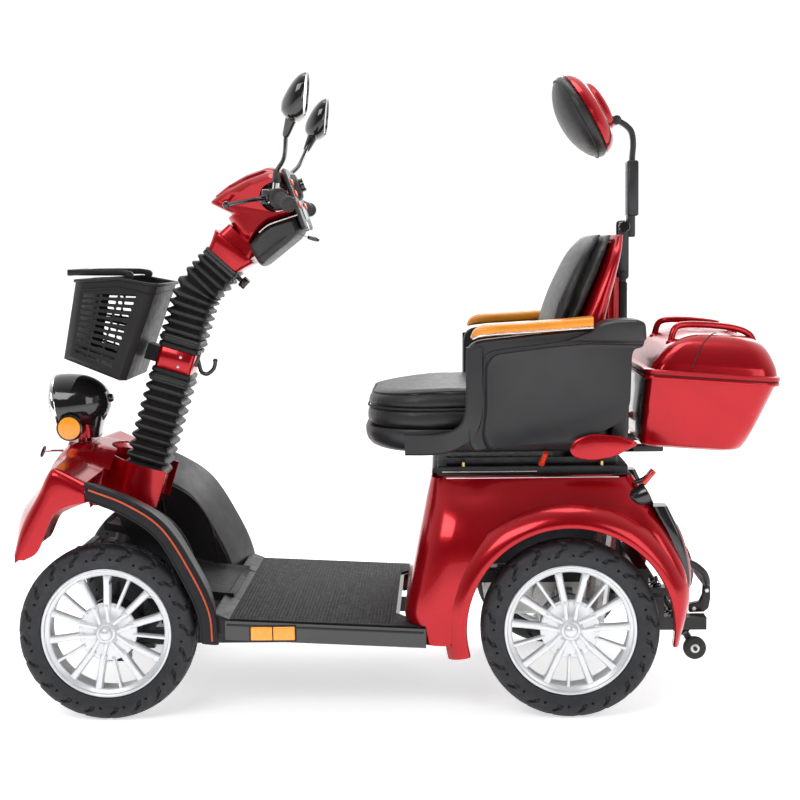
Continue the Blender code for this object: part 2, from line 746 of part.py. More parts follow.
def steering_column():
    shaft = rod(column_axis(HEAD_TUBE_S[0] + 0.002), column_axis(0.140), SHAFT_RADIUS, sides=16)
    pieces = [rod(column_axis(HEAD_TUBE_S[1] + 0.001), column_axis(HEAD_TUBE_S[1] + 0.012), 0.030)]
    for side in (-1, 1):
        low, high = sorted((side * 0.0135, side * 0.0205))
        ear = box((-0.014, low, 0.128), (0.014, high, 0.184))
        pieces.append(moved(ear, column_matrix(0)))
    yoke = box((-0.0155, -0.0220, 0.126), (0.0155, 0.0220, 0.142))
    pieces.append(moved(yoke, column_matrix(0)))
    pin = TILT_PIVOT
    pieces.append(rod((pin.x, -0.019, pin.z), (pin.x, 0.019, pin.z), 0.0055, sides=12))
    return fused(shaft, pieces)


def shaft_hole(s0, s1, radius=SHAFT_HOLE):
    return rod(column_axis(s0), column_axis(s1), radius, sides=16)


def lower_column_cover():
    cover = column_box(*LOWER_BOX_S, 0.094, 0.150, 0.006)
    return fused(cover, cut=[shaft_hole(-0.5, -0.2, 0.034)])


def middle_column_cover():
    """Red box between two black bands, with the basket bracket in front and a bag hook behind."""
    cover = column_box(-0.027, 0.027, 0.090, 0.106, 0.005)
    pieces = [column_box(MIDDLE_BOX_S[0], -0.026, 0.098, 0.114),
              column_box(0.026, MIDDLE_BOX_S[1], 0.098, 0.114)]
    pieces.append(column_box(-0.020, 0.020, 0.156, 0.050))
    bracket = fused(cover, pieces, [shaft_hole(-0.1, 0.1)])
    behind = moved(box((0.0455, -0.1, -0.1), (0.2, 0.1, 0.0265)), column_matrix(0))
    trimmed = fused(bracket, cut=[behind])
    back = [(0.040, 0.018), (0.060, -0.012), (0.078, -0.014), (0.088, 0.000), (0.088, 0.022)]
    hook = tube([column_axis(s, across) for across, s in back], 0.005)
    return fused(trimmed, [hook])


def square_loop(centre, up, across, half_depth, half_width, chamfer=0.25):
    """Square section with cut corners, square to the up direction."""
    d, w = half_depth, half_width
    c = chamfer * min(d, w)
    outline = [(-d, -w + c), (-d + c, -w), (d - c, -w), (d, -w + c), (d, w - c), (d - c, w), (-d + c, w),
               (-d, w - c)]
    return [centre + across * a + Vector((0, b, 0)) for a, b in outline]


def bellows(line, pleats, first_up, last_up):
    """Square pleated sleeve along a line of points, square to the given directions at its ends."""
    count = 2 * pleats + 1
    line = resampled(line, count)
    ends = {0: first_up, count - 1: last_up}
    rows = []
    for i, point in enumerate(line):
        along = ends.get(i) or (line[i + 1] - line[i - 1]).normalized()
        across = Vector((0, 1, 0)).cross(along).normalized()
        pinch = 0.011 if i % 2 == 0 else 0.0
        rows.append(square_loop(point, along, across, BELLOWS_DEPTH / 2 - pinch, BELLOWS_WIDTH / 2 - pinch))
    return loft(rows)


def lower_bellows():
    line = [column_axis(LOWER_BOX_S[1] + GAP), column_axis(MIDDLE_BOX_S[0] - GAP)]
    sleeve = bellows(line, BELLOWS_PLEATS, COLUMN_UP, COLUMN_UP)
    return fused(sleeve, cut=[shaft_hole(-0.4, 0.1)])


def upper_line():
    return smooth_line(
        [column_axis(MIDDLE_BOX_S[1] + GAP), column_axis(0.100), head_axis(0.010, -0.004),
         head_axis(COLLAR_T[0] - GAP)], 8
    )


def upper_bellows():
    sleeve = bellows(upper_line(), BELLOWS_PLEATS, COLUMN_UP, HEAD_UP)
    bores = [shaft_hole(0.0, 0.175), rod(TILT_PIVOT, head_axis(0.2), SHAFT_HOLE), ball(TILT_PIVOT, 0.034)]
    return fused(sleeve, cut=bores)


def upper_column_cover():
    """Black collar and red cover that widens up to the tiller head."""
    collar = moved(box((-0.049, -0.062, COLLAR_T[0]), (0.049, 0.062, COLLAR_T[1] + 0.001), 0.003),
                   head_matrix())
    levels = ((TAPER_T[0] - 0.001, 0.041, 0.056), (TAPER_T[1], 0.0615, 0.066))
    rows = [square_loop(head_axis(t), HEAD_UP, HEAD_BACK, d, w, 0.15) for t, d, w in levels]
    return fused(collar, [loft(rows)], [rod(head_axis(0.0), head_axis(0.3), SHAFT_HOLE)])


def tilt_knob():
    face = head_axis(0.094, 0.0495)
    stem = rod(face, face + 0.016 * HEAD_BACK, 0.004, sides=10)
    knob = rod(face + 0.012 * HEAD_BACK, face + 0.030 * HEAD_BACK, 0.013, 0.011, sides=12)
    return fused(stem, [knob])


# ---------------------------------------------------------------- tiller head

BAR_POINTS = [(-0.222, -0.262, 1.163), (-0.262, -0.150, 1.183), (-0.285, -0.090, 1.188),
              (-0.285, 0.0, 1.188)]
BAR_RADIUS = 0.011
PERCH_Y = 0.136
LEVER_PIVOT = (-0.290, 0.156, 1.178)
HEAD_CENTRE = (-0.290, 1.160)
HEAD_HALF_WIDTH = 0.118


def head_body(outline, centre, half_width, front_round, squeeze):
    """Closed form with the given side outline, drawn in towards its sides."""
    stations = (-1.0, -0.93, -0.75, -0.4, 0.0, 0.4, 0.75, 0.93, 1.0)
    cx, cz = centre
    rows = []
    for share in stations:
        front = (1 - front_round * share * share) if front_round else 1.0
        pinch = 1 - squeeze * abs(share) ** 5
        row = []
        for x, z in outline:
            sx = front if x < cx else 1.0
            row.append((cx + (x - cx) * sx * pinch, share * half_width, cz + (z - cz) * pinch))
        rows.append(row)
    return loft(rows)


def handlebar_points():
    right = [(x, -y, z) for x, y, z in reversed(BAR_POINTS[:-1])]
    return BAR_POINTS + right


def on_bar(y):
    """Bar centre at a given distance from the middle, on the straight outer stretch."""
    a, b = Vector(BAR_POINTS[1]), Vector(BAR_POINTS[0])
    t = (abs(y) - 0.150) / (0.262 - 0.150)
    point = a.lerp(b, t)
    return Vector((point.x, math.copysign(point.y, y), point.z))


def handlebar():
    bar = tube(handlebar_points(), BAR_RADIUS, 3)
    boss = rod((TILT_PIVOT.x, -0.012, TILT_PIVOT.z), (TILT_PIVOT.x, 0.012, TILT_PIVOT.z), 0.013, sides=16)
    stem = rod(head_axis(0.004), head_axis(0.290), 0.0115, sides=16)
    bore = rod((TILT_PIVOT.x, -0.02, TILT_PIVOT.z), (TILT_PIVOT.x, 0.02, TILT_PIVOT.z), 0.0060, sides=12)
    pieces = [stem, boss]
    for side in (-1, 1):
        place = on_bar(side * 0.136)
        low, high = sorted((side * 0.124, side * 0.146))
        pieces.append(box((place.x - 0.030, low, place.z - 0.016), (place.x + 0.014, high, place.z + 0.016),
                          0.003))
        pieces.append(rod((place.x, place.y, place.z), (place.x + 0.004, place.y, 1.216), 0.008, sides=10))
        x, y, z = LEVER_PIVOT[0], side * LEVER_PIVOT[1], LEVER_PIVOT[2]
        low, high = sorted((side * 0.1385, y + side * 0.007))
        pieces.append(box((x - 0.007, low, z + 0.0075), (x + 0.009, high, z + 0.0115)))
        pieces.append(box((x - 0.007, low, z - 0.0115), (x + 0.009, high, z - 0.0075)))
        pieces.append(rod((x, y, z - 0.0100), (x, y, z + 0.0100), 0.0030, sides=10))
    return fused(bar, pieces, [bore])


def tiller_openings():
    """Cutters for the hand recesses, the stem and the inside of the head."""
    cuts = [rod(head_axis(0.05), head_axis(0.30), 0.020, sides=14)]
    for side in (-1, 1):
        cuts.append(rod((-0.278, side * 0.070, 1.186), (-0.262, side * 0.140, 1.184), 0.036, sides=20))
    return cuts


RED_HEAD = [
    (-0.442, 1.177), (-0.400, 1.210), (-0.345, 1.238), (-0.288, 1.256), (-0.258, 1.250), (-0.2226, 1.146),
    (-0.290, 1.126), (-0.318, 1.106), (-0.346, 1.072), (-0.362, 1.082), (-0.398, 1.140), (-0.384, 1.147),
]
SPLIT_LINE = [(-0.2222, 1.1450), (-0.2897, 1.1250), (-0.3175, 1.1050), (-0.3450, 1.0700)]
GREY_HEAD = SPLIT_LINE + [
    (-0.3200, 1.0270),
    (-0.3100, 1.0200), (-0.2210, 1.0900), (-0.2090, 1.1080),
]


def shrunk(outline, by):
    """The outline drawn in towards its middle by about the given distance."""
    cx = sum(x for x, _ in outline) / len(outline)
    cz = sum(z for _, z in outline) / len(outline)
    inner = []
    for x, z in outline:
        away = Vector((x - cx, z - cz))
        away *= max(away.length - by, 0) / away.length
        inner.append((cx + away.x, cz + away.y))
    return inner


def tiller_head_cover():
    shell = head_body(RED_HEAD, HEAD_CENTRE, HEAD_HALF_WIDTH, 0.75, 0.22)
    hollow = head_body(shrunk(RED_HEAD, 0.010), HEAD_CENTRE, HEAD_HALF_WIDTH - 0.008, 0.75, 0.22)
    below = plate([(x, z + GAP) for x, z in SPLIT_LINE] + [(-0.345, 1.00), (-0.150, 1.00), (-0.150, 1.146)],
                  -0.2, 0.2)
    return fused(shell, cut=[hollow, below, *tiller_openings()])


def tiller_lower_cover():
    shell = head_body(GREY_HEAD, (-0.270, 1.075), 0.100, 0.0, 0.10)
    hollow = head_body(shrunk(GREY_HEAD, 0.010), (-0.270, 1.075), 0.094, 0.0, 0.10)
    key_hole = rod((-0.25, -0.030, 1.104), (-0.19, -0.030, 1.087), 0.0065, sides=10)
    return fused(shell, cut=[hollow, key_hole, *tiller_openings()])


def dashboard():
    outline = [(-0.2572, 1.2515), (-0.2480, 1.2520), (-0.1990, 1.1090), (-0.2083, 1.1075)]
    panel = head_body(outline, (-0.228, 1.180), 0.106, 0.0, 0.12)
    bump = rod((-0.238, 0.0, 1.205), (-0.215, 0.0, 1.213), 0.030, 0.024, sides=16)
    return fused(panel, [bump], [rod((-0.300, 0.0, 1.18), (-0.2575, 0.0, 1.195), 0.05)])


def grip(side, inner, outer):
    """Rubber sleeve on the bar with an end flange and a round weight."""
    a, b = on_bar(side * inner), on_bar(side * outer)
    along = (b - a).normalized()
    end = on_bar(side * 0.262)
    sleeve = rod(a, b, 0.0165, sides=14)
    flange = rod(b - 0.010 * along, b - 0.002 * along, 0.0235, sides=16)
    weight = rod(b - 0.002 * along, b + 0.014 * along, 0.0175, 0.011, sides=14)
    bore = rod(a - 0.01 * along, end + 0.0005 * along, BAR_RADIUS + 0.0005, sides=14)
    return fused(sleeve, [flange, weight], [bore])


def brake_lever(side):
    points = [(-0.296, side * 0.156, 1.178), (-0.318, side * 0.172, 1.176), (-0.345, side * 0.205, 1.171),
              (-0.358, side * 0.245, 1.166), (-0.362, side * 0.272, 1.163)]
    pivot = Vector((LEVER_PIVOT[0], side * LEVER_PIVOT[1], LEVER_PIVOT[2]))
    blade = tube(smooth_line(points, 2), 0.0055)
    eye = rod(pivot - Vector((0, 0, 0.007)), pivot + Vector((0, 0, 0.007)), 0.008, sides=12)
    hole = rod(pivot - Vector((0, 0, 0.02)), pivot + Vector((0, 0, 0.02)), 0.0033, sides=10)
    return fused(blade, [eye, ball(points[-1], 0.008, 12, 8)], [hole])


def ignition_key():
    blade = rod((-0.235, -0.030, 1.0998), (-0.200, -0.030, 1.0898), 0.0045, sides=10)
    fob = rod((-0.203, -0.030, 1.0907), (-0.176, -0.030, 1.0830), 0.0115, sides=14)
    return fused(blade, [fob])


def mirror(side):
    """Stalk on the bar with a tapered head; the glass side faces the rider."""
    base = on_bar(side * PERCH_Y)
    foot = Vector((base.x + 0.004, side * PERCH_Y, 1.2180))
    neck = Vector((-0.226, side * 0.250, 1.318))
    line = smooth_line([foot, foot + Vector((0.004, side * 0.002, 0.026)), (-0.240, side * 0.172, 1.272),
                        neck], 3)
    stalk = tube(line, 0.0055)
    boot = rod(foot, foot + Vector((0.004, side * 0.002, 0.030)), 0.010, 0.007, sides=12)
    stations = ((0.000, 0.044, 0.052), (0.014, 0.046, 0.054), (0.034, 0.034, 0.040), (0.050, 0.012, 0.018))
    rows = []
    for depth, tall, wide in stations:
        centre = Vector((-0.180 - depth, side * 0.285, 1.400 - 0.45 * depth))
        row = []
        for k in range(14):
            angle = 2 * math.pi * k / 14
            c, s = math.cos(angle), math.sin(angle)
            row.append(centre + Vector((0.10 * tall * s, wide * c, tall * s * (1.15 if s > 0 else 1.0))))
        rows.append(row)
    head = loft(rows)
    joint = rod(neck - Vector((0, 0, 0.006)), (-0.212, side * 0.268, 1.362), 0.009, 0.013, sides=12)
    return fused(stalk, [boot, head, joint])


# ---------------------------------------------------------------- basket

BASKET_SIDE = [(-0.745, 0.997), (-0.640, 1.001), (-0.550, 0.984), (-0.634, 0.757), (-0.650, 0.757),
               (-0.781, 0.811)]
BASKET_HALF = 0.140
BASKET_WALL = 0.004
BAIL_HINGE = (-0.619, 1.006)


def basket():
    outer = plate(BASKET_SIDE, -BASKET_HALF, BASKET_HALF)
    inner = [(-0.7395, 1.05), (-0.6400, 1.06), (-0.5460, 1.05), (-0.5555, 0.984), (-0.6370, 0.7625),
             (-0.6490, 0.7620),
             (-0.7755, 0.8145), (-0.7405, 0.9970)]
    hollow = plate(inner, -BASKET_HALF + BASKET_WALL, BASKET_HALF - BASKET_WALL)
    ears = []
    for side in (-1, 1):
        low, high = sorted((side * (BASKET_HALF - 0.018), side * (BASKET_HALF - 0.002)))
        ears.append(box((-0.632, low, 0.985), (-0.606, high, 1.020), 0.003))
    pins = [rod((BAIL_HINGE[0], side * 0.118, BAIL_HINGE[1]), (BAIL_HINGE[0], side * 0.145, BAIL_HINGE[1]),
                0.0069, sides=14)
            for side in (-1, 1)]
    return fused(outer, ears, [hollow, *pins])


def basket_handle():
    y = BASKET_HALF - 0.026
    arm = [(-0.619, -y - 0.024, 1.006), (-0.619, -y - 0.004, 1.006), (-0.624, -y + 0.002, 1.0065),
           (-0.650, -y, 1.010),
           (-0.765, -y + 0.010, 1.014), (-0.768, -y + 0.030, 1.014)]
    return tube(arm + [(x, -side, z) for x, side, z in reversed(arm)], 0.0065)


# ---------------------------------------------------------------- seat

PLATFORM_TOP = 0.572
CUSHION_BOTTOM = 0.6475


def seat_platform():
    """Steel tray on a front hinge, with the two rails that the seat slides on."""
    tray = box((HINGE_X + 0.004, -0.205, 0.5335), (0.545, 0.205, PLATFORM_TOP - 0.016), 0.003)
    pieces = [rod((HINGE_X, -0.190, HINGE_Z), (HINGE_X, 0.190, HINGE_Z), 0.0075, sides=12)]
    for side in (-1, 1):
        low, high = sorted((side * 0.150, side * 0.180))
        pieces.append(box((0.125, low, 0.550), (0.520, high, PLATFORM_TOP)))
    return fused(tray, pieces)


def seat_lever():
    bar = tube([(0.345, -0.215, 0.562), (0.347, -0.226, 0.562), (0.350, -0.232, 0.568),
                (0.354, -0.234, 0.590)], 0.006)
    return bar


def seat_base_outline(inset=0.0):
    """Plan of the seat base: a broad rounded front."""
    front, half = -0.066 + inset, 0.246 - inset
    loop = rounded_rectangle(front, 0.500, half, (0.150, 0.03), 5)
    return loop


def side_wall_outline():
    return [
        (0.184, 0.600), (0.172, 0.640), (ARM_FRONT_X, 0.820), (0.180, 0.842), (0.200, 0.852), (0.320, 0.864),
        (0.425, 0.874), (0.572, 0.874), (0.572, 0.832), (0.545, 0.828), (0.541, 0.700), (0.520, 0.664),
        (0.470, 0.638), (0.380, 0.621), (0.280, 0.612), (0.210, 0.604),
    ]


def seat_shell():
    """Black tub: base tray with a rolled front lip, two side walls and the wall behind the backrest."""
    lows = ((0.5895, 0.030), (0.612, 0.004), (0.646, 0.0))
    rows = [[(x, y, z) for x, y in seat_base_outline(inset)] for z, inset in lows]
    base = loft(rows)
    pieces = []
    for side in (-1, 1):
        low, high = sorted((side * (SEAT_HALF_WIDTH - 0.046), side * SEAT_HALF_WIDTH))
        pieces.append(bevelled(plate(side_wall_outline(), low, high), 0.008))
        low, high = sorted((side * 0.200, side * (SEAT_HALF_WIDTH + 0.012)))
        pieces.append(box((0.4575, low, 0.8435), (0.575, high, 0.898), 0.014))
        low, high = sorted((side * 0.146, side * 0.184))
        pieces.append(box((0.140, low, PLATFORM_TOP + GAP), (0.500, high, 0.600)))
    pieces.append(box((0.505, -0.250, 0.600), (0.545, 0.250, 0.840), 0.010))
    pieces.append(box((0.470, -0.250, 0.600), (0.520, 0.250, 0.640)))
    front = box((-0.2, -0.4, 0.6463), (0.168, 0.4, 0.9))
    return fused(base, pieces, [front])


CUSHION_REAR_X = 0.470
CUSHION_HALF_IN_ARMS = 0.241


def seat_cushion():
    lows = ((CUSHION_BOTTOM, 0.006, 0.0), (0.690, 0.000, 0.0), (0.716, 0.010, 0.3), (0.728, 0.045, 1.0))
    rows = []
    for z, inset, rise in lows:
        row = []
        for x, y in seat_base_outline(0.004 + inset):
            back = min(x, CUSHION_REAR_X)
            half = CUSHION_HALF_IN_ARMS if back > ARM_FRONT_X - 0.01 else SEAT_HALF_WIDTH
            y = max(min(y, half), -half)
            row.append((back, y, z + 0.012 * rise * smoothstep(-0.06, 0.12, x)))
        rows.append(row)
    return loft(rows)


def armrest(side):
    """Long pad on top of the side wall, higher towards the rear."""
    outline = [(0.186, 0.858), (0.206, 0.876), (0.300, 0.890), (0.4565, 0.903), (0.4565, 0.8775),
               (0.320, 0.8645),
               (0.200, 0.8525)]
    low, high = sorted((side * (SEAT_HALF_WIDTH - 0.056), side * (SEAT_HALF_WIDTH + 0.010)))
    return bevelled(plate(outline, low, high), 0.005)


BACK_LEVELS = (
    # z, pad front x, pad rear x, shell rear x, half width
    (0.742, 0.338, 0.418, 0.478, 0.205),
    (0.860, 0.356, 0.410, 0.492, 0.215),
    (0.930, 0.376, 0.438, 0.505, 0.212),
    (0.990, 0.402, 0.466, 0.520, 0.200),
    (1.045, 0.432, 0.492, 0.533, 0.176),
    (1.085, 0.470, 0.512, 0.540, 0.128),
)


def back_row(z, front, rear, half, bulge, count=7):
    """Loop with a flat or bulged front, round sides."""
    loop = []
    for k in range(count):
        share = -1 + 2 * k / (count - 1)
        loop.append((front + bulge * share * share, share * half, z))
    for k in range(count):
        share = 1 - 2 * k / (count - 1)
        loop.append((rear - 0.2 * bulge * share * share, 0.96 * share * half, z))
    return loop


def backrest_pad():
    return loft([back_row(z, front, rear - GAP, half, 0.022) for z, front, rear, _, half in BACK_LEVELS])


def backrest_shell():
    rows = [back_row(z, rear + GAP, shell, 0.99 * half, 0.0) for z, _, rear, shell, half in BACK_LEVELS]
    shell = loft(rows)
    pillar = box((0.480, -0.045, 0.760), (0.5400, 0.045, 0.992), 0.006)
    behind = box((0.5047, -0.26, 0.5), (0.60, 0.26, 0.8405))
    arms = box((0.4572, -0.4, 0.5), (0.60, -0.1995, 0.8985))
    other = box((0.4572, 0.1995, 0.5), (0.60, 0.4, 0.8985))
    return fused(shell, [pillar], [behind, arms, other])


# ---------------------------------------------------------------- headrest and trunk support

FOLD_PIVOT = Vector((POST_X, 0, 0.992))
SLEEVE_TOP_Z = 1.262
DISC_CENTRE = Vector((0.4705, 0, 1.376))
DISC_LEAN = math.radians(-60)
PAD_PIVOT = Vector((0.5405, 0, 1.358))


def rear_support():
    """Grey post behind the backrest, welded to arms that carry the trunk."""
    post = box((0.5460, -0.020, 0.575), (0.566, 0.020, 0.972), 0.002)
    pieces = [box((0.5462, -0.004, 0.960), (0.566, 0.004, 1.006))]
    for side in (-1, 1):
        low, high = sorted((side * 0.085, side * 0.115))
        pieces.append(box((0.42, low, PLATFORM_TOP + 0.0005), (0.640, high, 0.589)))
        pieces.append(box((0.5470, low + 0.001, 0.577), (0.577, high - 0.001, 0.640)))
    pieces.append(box((0.5475, -0.112, 0.578), (0.570, 0.112, 0.587)))
    pieces.append(rod((FOLD_PIVOT.x, -0.010, FOLD_PIVOT.z), (FOLD_PIVOT.x, 0.010, FOLD_PIVOT.z), 0.005,
                      sides=12))
    return fused(post, pieces)


def headrest_bar():
    """Folding flat bar with a square sleeve on top."""
    pieces = []
    for side in (-1, 1):
        low, high = sorted((side * 0.0045, side * 0.0125))
        pieces.append(box((0.544, low, 0.979), (0.5685, high, 1.120), 0.002))
    bar = box((0.5672, -0.0117, 1.012), (0.5852, 0.0117, 1.200))
    sleeve = box((0.566, -0.014, 1.130), (0.592, 0.014, SLEEVE_TOP_Z), 0.001)
    knob = rod((0.572, 0, 1.105), (0.545, 0, 1.105), 0.009, sides=12)
    pin = rod((FOLD_PIVOT.x, -0.03, FOLD_PIVOT.z), (FOLD_PIVOT.x, 0.03, FOLD_PIVOT.z), 0.0055, sides=12)
    inside = box((0.5705, -0.0095, 1.150), (0.5875, 0.0095, 1.30))
    return fused(bar, [*pieces, sleeve, knob], [pin, inside])


def headrest_arm():
    stem = box((0.5709, -0.0091, 1.160), (0.5871, 0.0091, 1.270))
    bend = smooth_line([(0.579, 0, 1.262), (0.581, 0, 1.310), (0.566, 0, 1.342), PAD_PIVOT], 4)
    return fused(stem, [tube(bend, 0.0085), ball(PAD_PIVOT, 0.0085, 12, 8)])


def disc_place():
    return Matrix.Translation(DISC_CENTRE) @ Matrix.Rotation(math.radians(-120), 4, "Y")


def headrest_pad():
    """Round cushion in two tiers; local Z points forward and down, towards the head."""
    profile = [(0.0, 0.072), (0.050, 0.070), (0.078, 0.060), (0.088, 0.042), (0.090, 0.034), (0.102, 0.026),
               (0.107, 0.010), (0.100, GAP), (0.0, GAP)]
    return turned(profile, 24, disc_place())


def headrest_shell():
    profile = [(0.0, 0.0), (0.098, 0.0), (0.098, -0.010), (0.080, -0.026), (0.052, -0.034), (0.030, -0.046),
               (0.0, -0.048)]
    shell = turned(profile, 24, disc_place())
    clear = ball(PAD_PIVOT, 0.0115, 12, 8)
    neck = rod((0.548, 0, 1.352), (0.60, 0, 1.33), 0.013)
    return fused(shell, cut=[clear, neck])


TRUNK_BASE_LEVELS = (
    # height, front x, rear x, half width
    (-0.172, -0.139, 0.082, 0.165),
    (-0.160, -0.148, 0.096, 0.180),
    (-0.100, -0.151, 0.118, 0.205),
    (-0.002, -0.151, 0.152, 0.224),
)
TRUNK_LID_LEVELS = (
    (0.0105, -0.146, 0.152, 0.224),
    (0.035, -0.130, 0.146, 0.216),
    (0.072, -0.096, 0.126, 0.192),
    (0.094, -0.050, 0.095, 0.160),
)


def trunk_matrix():
    return Matrix.Translation(TRUNK_CENTRE) @ Matrix.Rotation(TRUNK_TILT, 4, "Y")


def trunk_rows(levels, inset=0.0, lift=0.0):
    rows = []
    for h, x0, x1, half in levels:
        loop = rounded_rectangle(x0 + inset, x1 - inset, half - inset, (0.030, 0.050))
        rows.append([(x, y, h + lift) for x, y in loop])
    return rows


def flange(low, high, inset):
    outline = rounded_rectangle(-0.160, 0.1551, 0.236, (0.034, 0.054))
    hole = rounded_rectangle(-0.151 + inset, 0.152 - inset, 0.224 - inset, (0.030, 0.050))
    return plate(outline, low, high, plane="XY"), plate(hole, low - 0.01, high + 0.01, plane="XY")


def trunk_base():
    base = loft(trunk_rows(TRUNK_BASE_LEVELS))
    inner = trunk_rows(TRUNK_BASE_LEVELS, SKIN)
    inner[0] = [(x, y, h + SKIN) for x, y, h in inner[0]]
    inner[-1] = [(x, y, h + 0.02) for x, y, h in inner[-1]]
    rim, hole = flange(-0.009, -0.001, SKIN)
    return moved(fused(base, [rim], [loft(inner), hole]), trunk_matrix())


def trunk_lid():
    lid = loft(trunk_rows(TRUNK_LID_LEVELS))
    inner = trunk_rows(TRUNK_LID_LEVELS, SKIN)
    inner[0] = [(x, y, h - 0.02) for x, y, h in inner[0]]
    inner[-1] = [(x, y, h - SKIN) for x, y, h in inner[-1]]
    rim, hole = flange(0.0, 0.012, SKIN)
    pieces = [rim]
    for side in (-1, 1):
        rail = [(-0.085, side * 0.130, 0.070), (-0.078, side * 0.130, 0.112), (0.000, side * 0.126, 0.116),
                (0.085, side * 0.120, 0.104), (0.118, side * 0.110, 0.060)]
        pieces.append(tube(smooth_line(rail, 2), 0.008))
    return moved(fused(lid, pieces, [loft(inner), hole]), trunk_matrix())


def anti_tip_wheel(side):
    hub_y = side * 0.150
    low, high = sorted((hub_y + side * 0.0095, hub_y + side * 0.0285))
    bore = rod((0.707, -0.2, 0.112), (0.707, 0.2, 0.112), 0.0053, sides=12)
    return fused(rod((0.707, low, 0.112), (0.707, high, 0.112), 0.027, sides=18), cut=[bore])


# ---------------------------------------------------------------- assembly

TRUNK_HINGE = trunk_matrix() @ Vector((-0.1605, 0, 0.0))

BODIES = {
    # body: (joint point, pieces)
    "chassis": ((0, 0, 0), {
        "chassis_frame": (chassis_frame, "steel"),
        "floor_pan": (floor_pan, "grey_plastic"),
        "floor_mat": (floor_mat, "rubber"),
        "leg_shield": (leg_shield, "black_plastic"),
        "front_cowl": (front_cowl, "red_paint"),
        "left_fender": (left_fender, "black_plastic"),
        "rear_body": (rear_body, "red_paint"),
        "battery_pack": (battery_pack, "battery"),
        "rear_transaxle": (rear_transaxle, "steel"),
        "rear_bumper": (rear_bumper, "steel"),
    }),
    "headlight": (HEADLIGHT_PIVOT, {
        "headlight_shell": (headlight_shell, "black_plastic"),
        "headlight_lens": (headlight_lens, "glass"),
    }),
    "tiller": (tuple(column_axis(HEAD_TUBE_S[1])), {
        "steering_column": (steering_column, "steel"),
        "lower_column_cover": (lower_column_cover, "red_paint"),
        "lower_bellows": (lower_bellows, "rubber"),
        "middle_column_cover": (middle_column_cover, "red_paint"),
        "upper_bellows": (upper_bellows, "rubber"),
        "basket": (basket, "grey_plastic"),
    }),
    "basket_handle": ((BAIL_HINGE[0], 0, BAIL_HINGE[1]), {"basket_handle": (basket_handle, "grey_plastic")}),
    "tiller_head": (tuple(TILT_PIVOT), {
        "upper_column_cover": (upper_column_cover, "red_paint"),
        "tiller_head_cover": (tiller_head_cover, "red_paint"),
        "tiller_lower_cover": (tiller_lower_cover, "grey_plastic"),
        "dashboard": (dashboard, "grey_plastic"),
        "handlebar": (handlebar, "steel"),
        "left_grip": (lambda: grip(-1, 0.168, 0.270), "rubber"),
    }),
    "throttle": (tuple(on_bar(0.2)), {"throttle_grip": (lambda: grip(1, 0.168, 0.270), "rubber")}),
    "left_brake_lever": ((-0.290, -0.156, 1.178), {"left_brake_lever": (lambda: brake_lever(-1), "steel")}),
    "right_brake_lever": ((-0.290, 0.156, 1.178), {"right_brake_lever": (lambda: brake_lever(1), "steel")}),
    "key": ((-0.203, -0.030, 1.0907), {"ignition_key": (ignition_key, "black_plastic")}),
    "tilt_knob": (tuple(head_axis(0.094, 0.05)), {"tilt_knob": (tilt_knob, "black_plastic")}),
    "left_mirror": ((-0.258, -PERCH_Y, 1.2165), {"left_mirror": (lambda: mirror(-1), "black_plastic")}),
    "right_mirror": ((-0.258, PERCH_Y, 1.2165), {"right_mirror": (lambda: mirror(1), "black_plastic")}),
    "seat_platform": ((HINGE_X, 0, HINGE_Z), {"seat_platform": (seat_platform, "steel")}),
    "seat": ((0.3, 0, PLATFORM_TOP), {
        "seat_shell": (seat_shell, "leather"),
        "seat_cushion": (seat_cushion, "leather"),
        "left_armrest": (lambda: armrest(-1), "orange_pad"),
        "right_armrest": (lambda: armrest(1), "orange_pad"),
        "backrest_pad": (backrest_pad, "leather"),
        "backrest_shell": (backrest_shell, "red_paint"),
        "rear_support": (rear_support, "grey_plastic"),
        "trunk_base": (trunk_base, "red_paint"),
    }),
    "seat_lever": ((0.345, -0.215, 0.562), {"seat_lever": (seat_lever, "orange_plastic")}),
    "headrest_bar": (tuple(FOLD_PIVOT), {"headrest_bar": (headrest_bar, "steel")}),
    "headrest_arm": ((0.579, 0, SLEEVE_TOP_Z), {"headrest_arm": (headrest_arm, "steel")}),
    "headrest": (tuple(PAD_PIVOT), {
        "headrest_pad": (headrest_pad, "leather"),
        "headrest_shell": (headrest_shell, "red_paint"),
    }),
    "trunk_lid": (tuple(TRUNK_HINGE), {"trunk_lid": (trunk_lid, "red_paint")}),
}

for word, side in (("left", -1), ("right", 1)):
    BODIES[f"{word}_knuckle"] = (
        (FRONT_AXLE_X, side * KINGPIN_Y, AXLE_Z),
        {f"{word}_knuckle": (lambda side=side: knuckle(side), "steel")},
    )
    BODIES[f"{word}_anti_tip_wheel"] = (
        (0.707, side * 0.150, 0.112),
        {f"{word}_anti_tip_wheel": (lambda side=side: anti_tip_wheel(side), "rubber")},
    )
    for end, x in (("front", FRONT_AXLE_X), ("rear", REAR_AXLE_X)):
        BODIES[f"{end}_{word}_wheel"] = (
            (x, side * TRACK / 2, AXLE_Z),
            {
                f"{end}_{word}_tyre": (lambda x=x, side=side: tyre(x, side), "tyre_rubber"),
                f"{end}_{word}_rim": (lambda x=x, side=side: rim(x, side), "alloy"),
            },
        )


def assemble():
    for body, (point, pieces) in BODIES.items():
        anchor = bpy.data.objects.new(f"{body}_joint", None)
        anchor.empty_display_size = 0.03
        anchor.location = point
        PARTS.objects.link(anchor)
        made = {name: (build(), finish) for name, (build, finish) in pieces.items()}
        if body == "chassis":
            made["right_fender"] = (mirrored(made["left_fender"][0]), "black_plastic")
        for name, (obj, finish) in made.items():
            keep(name, obj, finish)
            obj.parent = anchor
            obj.matrix_parent_inverse = Matrix.Translation(point).inverted()


assemble()
